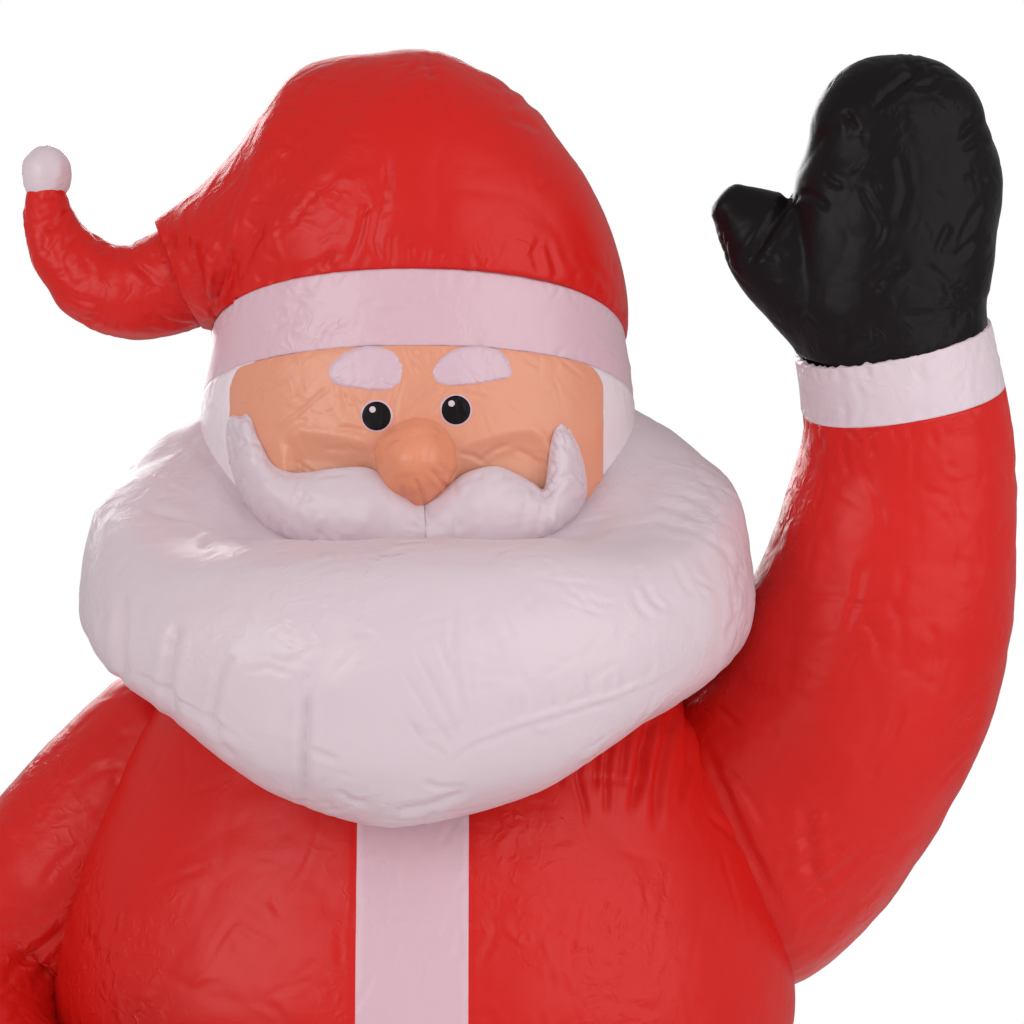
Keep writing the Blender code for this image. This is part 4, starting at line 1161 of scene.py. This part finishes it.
def coat_ring(level, out, columns):
    """The coat's section at a level, this far outside its surface."""
    width, depth = at_key(COAT_PROFILE, (level - HEM_FOOT) / COAT_HEIGHT)
    half_width, half_depth = COAT_WIDTH / 2 * width + out, COAT_DEPTH / 2 * depth + out
    x, y = superellipse(front_turns(columns), half_width, half_depth, COAT_SQUARENESS)
    return np.stack([x, y, np.full(columns, level)], axis=-1)


def coat_grid(low, high, rows, columns):
    rings = []
    for level in np.linspace(low, high, rows + 1):
        rings.append(coat_ring(level, 0.0, columns))
    return np.stack(rings)


def trim_planes():
    edge = TRIM_WIDTH / 2
    return [(Vector((way * edge, 0, 0)), Vector((1, 0, 0))) for way in (-1, 1)]


def on_trim(point):
    return abs(point.x) < TRIM_WIDTH / 2 and point.y < 0


# The gathers under the beard on the raised arm's side, and the pulls beside the seams
COAT_FOLDS = (
    (2.2, 4.0, (561, 750), (560, 790)),
    (2.4, 6.0, (580, 738), (577, 777), (585, 809), (586, 832)),
    (2.6, 7.0, (611, 728), (605, 771), (606, 822)),
    (2.2, 5.0, (626, 725), (619, 786)),
    (4.2, 9.0, (650, 712), (638, 771), (628, 820)),
    (4.2, 9.0, (672, 705), (656, 785), (653, 836)),
    (3.0, 7.0, (684, 695), (688, 765), (676, 816)),
    (2.4, 5.0, (597, 734), (594, 796)),
    (2.4, 4.0, (700, 740), (704, 792)),
    (2.2, 3.5, (640, 742), (644, 790)),
    (2.4, 4.0, (704, 812), (730, 838), (760, 862)),
    (2.2, 4.0, (712, 802), (732, 822)),
    (1.8, 1.6, (668, 862), (658, 925), (648, 995)),
    (2.2, 2.0, (720, 850), (735, 905)),
    (2.0, 1.8, (545, 760), (543, 784)),
    (2.0, 1.8, (528, 768), (530, 790)),
    (2.2, 1.6, (120, 778), (130, 800), (138, 830)),
    (2.2, 1.6, (395, 940), (402, 975)),
    (2.0, 1.6, (420, 955), (428, 985)),
)


def make_coat():
    """The coat above the belt and the strip down its front, cut from one surface."""
    body = coat_grid(BELT_TOP, COAT_TOP, fine(135), fine(400))
    up = run_along(body)
    run, whole = run_around(body, 0)
    edge = np.abs(np.abs(body[..., 0]) - TRIM_WIDTH / 2) + (body[..., 1] > 0) * 1.0
    relief = puffed(up, 0.02, 0.004) + gathers(run, whole, up, 0.034, 0.060, 0.0040, 51)
    relief -= 0.0018 * np.exp(-((edge / 0.004) ** 2))
    relief += folds(body, COAT_FOLDS)
    relief += crinkles(body, grid_normals(body), 90, 52, spread=0.06, depth=0.0013)
    relief += crumple(body, 0.25, 53) * 0.0060
    relief += crumple(body, 0.07, 54) * 0.0012
    relief *= smoothstep(0.0, SEAM, up)
    mesh = grid_mesh("coat", moved(body, relief), tuck_first=SEAM)
    link_halves(mesh, "coat", "coat_body", "coat_trim")


def link_halves(mesh, name, node, trim_node):
    """Cuts the strip out of a surface of the coat, and links both."""
    planes = trim_planes()
    red = split(mesh, planes, lambda point: not on_trim(point))
    link(f"{name}_skin", red, [node], RED)
    link(f"{name}_trim_skin", split(mesh, planes, on_trim), [trim_node], BAND_PINK)


def make_skirt():
    skirt = coat_grid(HEM_TOP, BELT_FOOT, fine(36), fine(320))
    up = run_along(skirt)
    left = up[-1] - up
    run, whole = run_around(skirt, 0)
    nearest = np.minimum(up, left)
    relief = puffed(nearest, 0.02, 0.004) + gathers(run, whole, left, 0.034, 0.060, 0.0040, 55)
    relief += gathers(run, whole, up, 0.034, 0.050, 0.0040, 56)
    relief += crinkles(skirt, grid_normals(skirt), 40, 57, spread=0.05, depth=0.0013)
    relief += crumple(skirt, 0.16, 58) * 0.0050
    relief *= smoothstep(0.0, SEAM, nearest)
    mesh = grid_mesh("skirt", moved(skirt, relief), tuck_first=SEAM, tuck_last=SEAM)
    link_halves(mesh, "skirt", "coat_skirt", "skirt_trim")


def make_belt():
    belt = coat_grid(BELT_FOOT, BELT_TOP, fine(20), fine(320))
    up = run_along(belt)
    run, whole = run_around(belt, 0)
    nearest = np.minimum(up, up[-1] - up)
    relief = puffed(nearest, 0.008, 0.004) + gathers(run, whole, nearest, 0.030, 0.03, 0.0022, 59)
    relief += crumple(belt, 0.10, 60) * 0.0030
    relief *= smoothstep(0.0, SEAM, nearest)
    mesh = grid_mesh("belt", moved(belt, relief), tuck_first=SEAM, tuck_last=SEAM)
    link("belt_skin", mesh, ["belt"], BLACK)


# The hem roll's section: shares of its height, then of its bulge
HEM_SECTION = ((0.0, -0.6), (0.16, 0.55), (0.5, 1.0), (0.84, 0.6), (1.0, -0.2))
HEM_BULGE = 0.022


def make_hem(columns):
    """The white hem roll and the coat's underside."""
    table = [(share, out, out) for share, out in HEM_SECTION]
    height = HEM_TOP - HEM_FOOT
    rings = []
    for share in np.linspace(0.0, 1.0, fine(36)):
        out = float(at_key(table, share)[0]) * HEM_BULGE
        rings.append(coat_ring(HEM_FOOT + height * share, out, columns))
    shrink = np.linspace(0.10, 0.97, 12)
    under = [rings[0] * np.array([s, s, 1.0]) + np.array([0, 0, 0.004 * (1 - s)]) for s in shrink]
    grid = np.stack(under + rings)
    up = run_along(grid)
    left = up[-1] - up
    run, whole = run_around(grid, -1)
    relief = gathers(run, whole, left, 0.032, 0.05, 0.0035, 61)
    relief += crinkles(grid, grid_normals(grid), 40, 63, spread=0.04, depth=0.0014)
    relief += crumple(grid, 0.09, 62) * 0.0040
    relief *= smoothstep(0.0, SEAM, left)
    mesh = grid_mesh("hem", moved(grid, relief), cap_first=True, tuck_last=SEAM)
    link("hem_skin", mesh, ["coat_hem"], WHITE)


# Beard

# Sections of the beard: degrees from the front, the crest's, the widest place's and the underside's
# distance out and up, then the root's top and foot, as shares of the beard's reach and height
BEARD_SHAPE = (
    (0, 0.750, 0.680, 1.000, 0.395, 0.800, 0.000, 0.620, 0.150),
    (20, 0.750, 0.680, 0.990, 0.420, 0.790, 0.072, 0.620, 0.180),
    (40, 0.740, 0.690, 0.945, 0.460, 0.750, 0.225, 0.700, 0.270),
    (63, 0.728, 0.796, 0.850, 0.520, 0.710, 0.330, 0.875, 0.360),
    (90, 0.670, 0.898, 0.770, 0.560, 0.664, 0.365, 1.010, 0.405),
    (108, 0.638, 0.905, 0.716, 0.620, 0.612, 0.436, 1.012, 0.480),
    (122, 0.560, 0.845, 0.610, 0.700, 0.560, 0.560, 0.920, 0.580),
)
BEARD_ROOT = 0.44
UPPER_LEAN = 0.1
# How closely points lie on each stretch of a section: closest where the beard is seen from the front
BEARD_WEIGHTS = (1.2, 2, 2, 3, 3, 3, 2, 1, 0.6, 0.6)


def beard_ring(angle, around):
    """The beard's section at an angle round the head, in degrees from the front."""
    turn = math.radians(angle)
    lowered = angle - BEARD_TIP_TURN * math.cos(turn) ** 2 * (abs(angle) < 90)
    under = at_key(BEARD_SHAPE, min(abs(lowered), BEARD_SHAPE[-1][0]))
    crest_r, crest_z, wide_r, wide_z, under_r, _, top_z, _ = at_key(BEARD_SHAPE, abs(angle))
    lean = BEARD_LEAN * math.sin(turn) / BEARD_HEIGHT
    crest_z, wide_z, top_z = crest_z + lean * UPPER_LEAN, wide_z + lean, top_z + lean * UPPER_LEAN
    under_z, foot_z = under[5] - lean, under[7]
    side_fit = BEARD_WIDTH / 2 / (BEARD_REACH * BEARD_SHAPE[4][3])
    fit = 1.0 + (side_fit - 1.0) * math.sin(turn) ** 2
    corners = (
        (BEARD_ROOT, top_z),
        ((BEARD_ROOT + crest_r) / 2 + 0.03, (top_z + crest_z) / 2 + 0.012),
        (crest_r, crest_z),
        (crest_r * 0.32 + wide_r * 0.68, crest_z * 0.72 + wide_z * 0.28),
        (wide_r, wide_z),
        (wide_r * 0.75 + under_r * 0.25, wide_z * 0.35 + under_z * 0.65),
        (under_r, under_z),
        ((BEARD_ROOT + under_r) / 2, (foot_z + under_z) / 2),
        (BEARD_ROOT, foot_z + 0.04),
        (BEARD_ROOT, (foot_z + top_z) / 2),
    )
    reach, level = closed_curve(corners, around, BEARD_WEIGHTS).T
    radius = reach * BEARD_REACH * fit
    return np.stack(
        [radius * math.sin(turn), -radius * math.cos(turn), CHIN_LEVEL + level * BEARD_HEIGHT], axis=-1
    )


BEARD_FOLDS = (
    (4.5, 7.0, (123, 590), (119, 650), (124, 692)),
    (5.0, 8.0, (181, 618), (171, 645), (166, 686), (175, 730)),
    (4.0, 5.0, (222, 660), (210, 716), (220, 750)),
    (4.0, 3.0, (232, 655), (220, 672)),
    (4.5, 8.0, (306, 686), (303, 747), (305, 815)),
    (3.5, 2.5, (308, 672), (296, 690), (292, 706)),
    (3.0, 2.2, (120, 668), (149, 681), (182, 704), (222, 729), (250, 745)),
    (3.5, 3.0, (306, 748), (340, 762)),
    (3.5, 2.5, (222, 744), (234, 758)),
    (3.5, 4.0, (196, 548), (216, 538), (235, 535), (260, 540)),
    (4.0, 2.5, (140, 508), (170, 515), (204, 524), (236, 534)),
    (4.0, 3.0, (180, 432), (201, 453), (222, 475), (244, 508), (262, 536)),
    (3.0, 2.2, (634, 432), (643, 426), (660, 422)),
    (3.5, 2.0, (560, 541), (582, 537), (613, 528), (650, 523), (678, 521)),
    (3.5, 3.0, (655, 522), (698, 533), (726, 552), (736, 575)),
    (3.5, 2.5, (650, 503), (686, 512), (716, 538)),
    (3.0, 2.2, (692, 472), (712, 490), (724, 506)),
    (3.0, 2.2, (676, 492), (706, 506), (728, 530)),
    (3.0, 2.0, (690, 455), (706, 470)),
    (3.0, 2.4, (632, 588), (640, 606), (654, 622)),
    (3.0, 2.4, (645, 582), (654, 600), (668, 612)),
    (3.0, 2.2, (672, 560), (684, 584), (698, 600)),
    (3.5, 3.0, (732, 580), (737, 618), (726, 642)),
    (3.0, 3.0, (740, 600), (742, 560)),
    (2.6, 2.2, (464, 748), (436, 690), (407, 634)),
    (2.6, 2.2, (458, 752), (430, 715), (398, 664)),
    (2.2, 2.0, (468, 744), (455, 690), (438, 634)),
    (2.6, 2.2, (472, 742), (462, 700), (452, 650), (456, 582)),
    (2.6, 2.0, (450, 760), (424, 742), (398, 706)),
    (2.4, 1.6, (474, 740), (472, 700), (466, 660)),
    (3.0, 2.5, (420, 735), (412, 722)),
    (
        3.0, -1.6, (443, 771), (460, 747), (475, 738), (518, 723), (551, 714), (594, 701), (634, 686),
        (692, 660),
    ),
    (
        2.6, 1.6, (441, 776), (460, 755), (478, 745), (520, 730), (553, 721), (596, 708), (636, 693),
        (690, 668),
    ),
    (2.2, 2.1, (494, 730), (494, 706)),
    (2.2, 2.1, (508, 726), (512, 695)),
    (2.2, 2.2, (524, 721), (521, 692)),
    (2.2, 2.1, (540, 716), (545, 690)),
    (2.2, 2.2, (556, 712), (552, 680)),
    (2.2, 2.1, (572, 707), (578, 682)),
    (2.2, 2.2, (590, 702), (588, 668)),
    (2.2, 2.0, (606, 697), (614, 672)),
    (2.2, 2.0, (625, 690), (622, 662)),
    (2.2, 1.8, (646, 682), (654, 660)),
    (2.2, 1.8, (668, 672), (662, 648)),
    (3.5, 3.0, (530, 728), (546, 742)),
    (4.0, 4.0, (392, 812), (430, 806), (474, 788)),
    (3.5, 2.5, (420, 822), (440, 812)),
    (3.0, 2.2, (336, 790), (352, 802), (372, 806)),
    (3.0, 2.0, (326, 800), (336, 816)),
    (3.0, 2.0, (420, 782), (440, 788), (470, 786)),
    (3.0, 2.0, (640, 566), (636, 580)),
)


BEARD_FRONT_SPACING = 0.62  # of an even spacing
IN_HEAD = 0.84  # where the beard's hidden inner wall is left out


def make_beard():
    last = BEARD_SHAPE[-1][0]
    ways = np.linspace(-1.0, 1.0, fine(345))
    angles = last * (BEARD_FRONT_SPACING * ways + (1 - BEARD_FRONT_SPACING) * ways**3)
    grid = np.stack([beard_ring(angle, fine(232)) for angle in angles])
    grid = smoothed(grid, 6)
    normals = grid_normals(grid)
    relief = folds(grid, BEARD_FOLDS)
    relief += crinkles(grid, normals, 90, 73, spread=0.05, depth=0.0012)
    relief += crumple(grid, 0.22, 71) * 0.0060
    relief += crumple(grid, 0.07, 72) * 0.0012
    mesh = grid_mesh("beard", moved(grid, relief), cap_first=True, cap_last=True)

    def in_head(points):
        width, depth = at_key(HEAD_PROFILE, (points[:, 2] - NECK_LEVEL) / HEAD_HEIGHT)
        reach = np.abs(points[:, 0] / (HEAD_WIDTH / 2 * width)) ** SQUARENESS
        reach += np.abs(points[:, 1] / (HEAD_DEPTH / 2 * depth)) ** SQUARENESS
        return (reach < IN_HEAD) & (points[:, 2] > NECK_LEVEL)

    link("beard_skin", without(mesh, in_head), ["beard"], WHITE)


# Face pieces

# Each half of the moustache: its upper and its lower edge, in pixels, from the middle out to the tip
LEFT_MOUSTACHE = (
    ((424, 503), (428.5, 568)),
    ((397, 484), (390, 572)),
    ((369, 468), (350, 572)),
    ((337, 468), (314, 562)),
    ((308, 472), (286, 548)),
    ((290, 472), (262, 533)),
    ((273, 464), (246, 509)),
    ((263, 447), (234, 479)),
    ((256, 432), (227, 449)),
    ((252, 420), (226, 428)),
    ((246, 413), (230, 416)),
)
RIGHT_MOUSTACHE = (
    ((424, 503), (428.5, 568)),
    ((444, 489), (455, 572)),
    ((466, 473), (480, 574)),
    ((494, 466), (508, 574)),
    ((515, 473), (530, 566)),
    ((533, 483), (550, 552)),
    ((543, 489), (566, 538)),
    ((546, 479), (580, 516)),
    ((548, 462), (587, 492)),
    ((550, 446), (585, 468)),
    ((554, 431), (579, 447)),
    ((560, 424), (569, 428)),
)


MOUSTACHE_FULLNESS = 0.95
MOUSTACHE_RISE = 0.038


def make_moustache():
    for side, table, seed in (("left", LEFT_MOUSTACHE, 81), ("right", RIGHT_MOUSTACHE, 86)):
        rows, columns = fine(130), fine(64)
        edges = between(np.array(table, float).reshape(len(table), 4), np.linspace(0, 1, rows + 1))
        upper, lower = edges[:, None, :2], edges[:, None, 2:]
        share = (1 - np.cos(np.linspace(0, math.pi, columns + 1))) / 2
        place = upper + (lower - upper) * share[None, :, None]
        half = np.linalg.norm(edges[:, :2] - edges[:, 2:], axis=1) / 2 * PIXEL
        along = np.linspace(0, 1, rows + 1)
        rise = np.minimum(half * MOUSTACHE_FULLNESS, MOUSTACHE_RISE)
        rise *= smoothstep(0.0, 0.05, 1 - along) ** 0.5
        middle = 0.62 + 0.38 * smoothstep(0.0, 0.12, along)
        crown = np.clip(1 - np.abs(2 * share - 1) ** 2.2, 0, 1) ** 0.78
        proud = rise[:, None] * middle[:, None] * crown[None, :] + 0.0035
        grid = on_face(place[..., 0], place[..., 1], proud)
        spread = 2.0
        run = np.broadcast_to((along * 0.5)[:, None], proud.shape)
        from_upper = share[None, :] * half[:, None] * 2
        relief = gathers(run, spread, from_upper, 0.026, 0.030, 0.0022, seed)
        relief += gathers(run, spread, half[:, None] * 2 - from_upper, 0.030, 0.035, 0.0022, seed + 1)
        relief += crinkles(grid, grid_normals(grid, closed=False), 22, seed + 2, spread=0.03, depth=0.0016)
        relief += crumple(grid, 0.06, seed + 3) * 0.0040
        relief *= smoothstep(0.0, 0.08, 0.5 - np.abs(share - 0.5))[None, :]
        name = f"{side}_moustache"
        mesh = grid_mesh(name, moved(grid, relief, closed=False), closed=False)
        link(f"{name}_skin", mesh, [name], WHITE)


def patch(name, nodes, cloth, outline, rise, seed, shape=0.5, rings=16, count=140, depth=0.0016):
    """A piece sewn on the face inside an outline of pixels, swollen towards its middle."""
    outline = closed_curve(outline, fine(count))
    centre = outline.mean(axis=0)
    shares = np.linspace(1.0, 0.03, fine(rings))
    place = centre + (outline - centre)[None] * shares[:, None, None]
    proud = 0.0016 + 0.0028 * smoothstep(0.0, 0.10, 1 - shares) + rise * (1 - shares**2) ** shape
    grid = on_face(place[..., 0], place[..., 1], proud[:, None] + 0 * place[..., 0])
    relief = gathers(*run_around(grid, 0), run_along(grid), 0.011, 0.016, depth, seed, slant=0.5)
    relief += crumple(grid, 0.03, seed + 1) * depth
    normals = grid_normals(grid)
    normals = np.where(normals.mean(axis=(0, 1))[1] > 0, -normals, normals)
    grid = grid + normals * relief[..., None]
    mesh = grid_mesh(name, grid, cap_last=True)
    link(name, mesh, nodes, cloth)


LEFT_BROW = (
    (327, 372), (333, 360), (352, 349), (375, 346), (394, 352), (402, 364), (402, 378), (395, 388), (378, 391),
    (352, 388), (332, 384),
)
RIGHT_BROW = (
    (432, 370), (440, 359), (458, 348), (480, 346), (500, 351), (511, 363), (511, 377), (492, 382), (468, 385),
    (446, 386), (434, 380),
)
NOSE_OUTLINE = (
    (374, 452), (386, 430), (404, 420), (423, 417), (441, 424), (452, 440), (458, 462), (453, 478), (443, 494),
    (424, 508), (405, 505), (388, 498), (379, 482),
)
NOSE_CENTRE = (414.0, 460.0)
NOSE_RISE = 0.060
NOSE_FOLDS = (
    (2.4, 2.6, (430, 468), (441, 482), (452, 492)),
    (2.4, 2.6, (415, 478), (420, 492), (426, 510)),
    (2.2, 1.8, (402, 486), (408, 500)),
    (2.2, 1.8, (440, 462), (452, 476)),
    (2.6, 2.0, (380, 450), (392, 440), (402, 436)),
)


def make_nose():
    outline = closed_curve(NOSE_OUTLINE, fine(170))
    centre = np.array(NOSE_CENTRE)
    shares = np.linspace(1.0, 0.02, fine(60))
    place = centre + (outline - centre)[None] * shares[:, None, None]
    proud = -0.001 + NOSE_RISE * (1 - shares**1.9) ** 0.72
    grid = on_face(place[..., 0], place[..., 1], proud[:, None] + 0 * place[..., 0])
    relief = folds(grid, NOSE_FOLDS) + crumple(grid, 0.05, 91) * 0.0030
    relief += gathers(*run_around(grid, 0), run_along(grid), 0.020, 0.030, 0.0010, 92)
    normals = grid_normals(grid)
    normals = np.where(normals.mean(axis=(0, 1))[1] > 0, -normals, normals)
    mesh = grid_mesh("nose", grid + normals * relief[..., None], cap_last=True)
    link("nose_skin", mesh, ["nose"], NOSE)


# The middle of each eye in pixels, and how far its glint lies from it
EYES = (("left", 376.5, 416.0, -4.0, -6.5), ("right", 456.0, 410.0, -4.5, -6.5))


def disc(u, v, radius):
    return [(u + radius * math.cos(turn), v - radius * math.sin(turn)) for turn in turns(24)]


def make_brows_and_eyes():
    patch("left_eyebrow_skin", ["left_eyebrow"], BROW, LEFT_BROW, 0.0022, 95)
    patch("right_eyebrow_skin", ["right_eyebrow"], BROW, RIGHT_BROW, 0.0022, 97)
    for side, u, v, glint_u, glint_v in EYES:
        for name, outline, rise, cloth, nodes in (
            (f"{side}_eye_rim", disc(u, v, 17.0), 0.0004, BROW, []),
            (f"{side}_eye_skin", disc(u, v, 16.4), 0.0012, BLACK, [f"{side}_eye"]),
            (f"{side}_eye_ring", disc(u + glint_u, v + glint_v, 3.7), 0.0018, WHITE, []),
        ):
            patch(name, nodes, cloth, outline, rise, 99, shape=0.2, rings=8, count=60, depth=0.0)


# Legs and base


def make_leg(side):
    low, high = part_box(f"{side}_leg")
    x = (low[0] + high[0]) / 2
    radius = (high[0] - low[0]) / 2
    levels = np.linspace(low[2] - 0.004, high[2] + 0.01, fine(34))
    width = radius * (0.92 + 0.08 * smoothstep(0.0, 0.4, (levels - low[2]) / (high[2] - low[2])))
    angles = turns(fine(150))
    across = x + width[:, None] * np.cos(angles)
    grid = np.stack([across, width[:, None] * np.sin(angles), levels[:, None] + 0 * across], axis=-1)
    up = run_along(grid)
    run, whole = run_around(grid, 0)
    relief = gathers(run, whole, up, 0.026, 0.05, 0.0035, 101) + crumple(grid, 0.08, 102) * 0.003
    mesh = grid_mesh("leg", moved(grid, relief), cap_first=True, cap_last=True)
    link(f"{side}_leg_skin", mesh, [f"{side}_leg"], RED)


BOOT_VOXEL, BOOT_SMOOTHING = 0.0076, 30
BASE_VOXEL, BASE_SMOOTHING = 0.012, 6


def soft_copy(node, voxel, smooth, relief, name, cloth):
    """A fine, softened skin over a node's own shape."""
    mesh = remeshed(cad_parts[node].data.copy(), voxel * (1.0), smooth)
    link(name, displaced(mesh, relief), [node], cloth)


def make_boot(side):
    def relief(points, normals):
        height = crumple(points, 0.12, 105) * 0.006 + crumple(points, 0.05, 106) * 0.002
        height += crinkles(points[None], normals[None], 24, 107, spread=0.04, depth=0.0018)[0]
        return height * smoothstep(BASE_TOP + 0.002, BASE_TOP + 0.02, points[:, 2]) + 0.002

    soft_copy(f"{side}_boot", BOOT_VOXEL, BOOT_SMOOTHING, relief, f"{side}_boot_skin", BLACK)


def make_base():
    def relief(points, normals):
        height = crumple(points, 0.14, 107) * 0.004
        return height * smoothstep(0.01, 0.03, points[:, 2])

    soft_copy("base_pad", BASE_VOXEL, BASE_SMOOTHING, relief, "base_skin", WHITE)


def make_buckle():
    """A square frame of gold fabric with softened edges."""
    obj = link("buckle_skin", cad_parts["belt_buckle"].data.copy(), ["belt_buckle"], GOLD)
    soft = obj.modifiers.new("soft_edges", "BEVEL")
    soft.width = 0.004
    soft.segments = 3


# Stage


def make_floor():
    bm = bmesh.new()
    bmesh.ops.create_circle(bm, cap_ends=True, segments=96, radius=3.2)
    mesh = bpy.data.meshes.new("floor")
    bm.to_mesh(mesh)
    bm.free()
    floor = bpy.data.objects.new("floor", mesh)
    bpy.context.scene.collection.objects.link(floor)
    pale = bpy.data.materials.new("pale_floor")
    pale.use_nodes = True
    shader = pale.node_tree.nodes["Principled BSDF"]
    shader.inputs["Base Color"].default_value = (0.86, 0.86, 0.86, 1.0)
    shader.inputs["Roughness"].default_value = 0.7
    mesh.materials.append(pale)


# White light from all round: as the camera sees it, as it lights fabric, and as it shows in a shine
BACKDROP, ALL_ROUND, IN_SHINE = 1.0, 0.66, 0.30
# Lamps: place, where they point, width, height and watts
LAMPS = (
    ("key", (2.3, -2.3, 2.3), (0.1, 0.0, 1.6), 3.0, 3.2, 41.0),
    ("left_fill", (-3.0, -3.8, 2.6), (0.0, 0.0, 1.6), 3.0, 2.4, 62.0),
    ("back", (-1.0, 3.6, 3.0), (0.0, 0.0, 1.4), 2.6, 2.0, 60.0),
)


def make_lights():
    scene = bpy.context.scene
    scene.world = bpy.data.worlds.new("studio")
    scene.world.use_nodes = True
    tree = scene.world.node_tree
    seen = tree.nodes["Background"]
    seen.inputs["Color"].default_value = (1.0, 1.0, 1.0, 1.0)
    seen.inputs["Strength"].default_value = BACKDROP
    lit, shine = (
        add_node(tree, "Background", [("Color", (1.0, 1.0, 1.0, 1.0)), ("Strength", strength)])
        for strength in (ALL_ROUND, IN_SHINE)
    )
    rays = add_node(tree, "LightPath")
    sources = [("Fac", rays.outputs["Is Glossy Ray"]), (1, lit.outputs[0]), (2, shine.outputs[0])]
    unseen = add_node(tree, "MixShader", [], sources)
    sources = [("Fac", rays.outputs["Is Camera Ray"]), (1, unseen.outputs[0]), (2, seen.outputs[0])]
    mix = add_node(tree, "MixShader", [], sources)
    tree.links.new(mix.outputs[0], tree.nodes["World Output"].inputs["Surface"])
    for lamp in LAMPS:
        soft_box(*lamp)
    scene.view_settings.view_transform = "Standard"
    scene.view_settings.look = "None"


def soft_box(name, place, target, width, height, power):
    lamp = bpy.data.lights.new(name, "AREA")
    lamp.shape = "RECTANGLE"
    lamp.size = width
    lamp.size_y = height
    lamp.energy = power
    obj = bpy.data.objects.new(name, lamp)
    obj.location = place
    obj.rotation_euler = (Vector(target) - Vector(place)).to_track_quat("-Z", "Y").to_euler()
    bpy.context.scene.collection.objects.link(obj)


def make_camera():
    """Level with the face, straight in front, with the waist at the frame's lower edge."""
    lens = bpy.data.cameras.new("camera")
    lens.sensor_width = 36.0
    lens.lens = lens.sensor_width * DISTANCE / (PIXEL * 2 * MIDDLE)
    camera = bpy.data.objects.new("camera", lens)
    camera.location = (CAMERA_X, -DISTANCE, CAMERA_Z)
    camera.rotation_euler = (math.pi / 2, 0.0, 0.0)
    bpy.context.scene.collection.objects.link(camera)
    bpy.context.scene.camera = camera


make_camera()
make_floor()
make_lights()
make_face()
make_hair()
make_band()
make_crown()
make_tail()
make_pompom()
make_beard()
make_moustache()
make_nose()
make_brows_and_eyes()
make_coat()
make_skirt()
make_belt()
make_hem(fine(320))
make_arm("raised", RAISED_ARM, ARM_RADIUS, RAISED_FOLDS, 111, 210, 180)
make_arm("lowered", LOWERED_ARM, LOWERED_ARM_RADIUS, LOWERED_FOLDS, 131, 180, 130)
make_mitten("raised", RAISED_HAND, RAISED_THUMB, ARM_RADIUS, RAISED_MITTEN_FOLDS, 151, 0.0041)
make_mitten("lowered", LOWERED_HAND, LOWERED_THUMB, LOWERED_ARM_RADIUS, (), 161, 0.0058)
for leg in ("left", "right"):
    make_leg(leg)
    make_boot(leg)
make_base()
make_buckle()
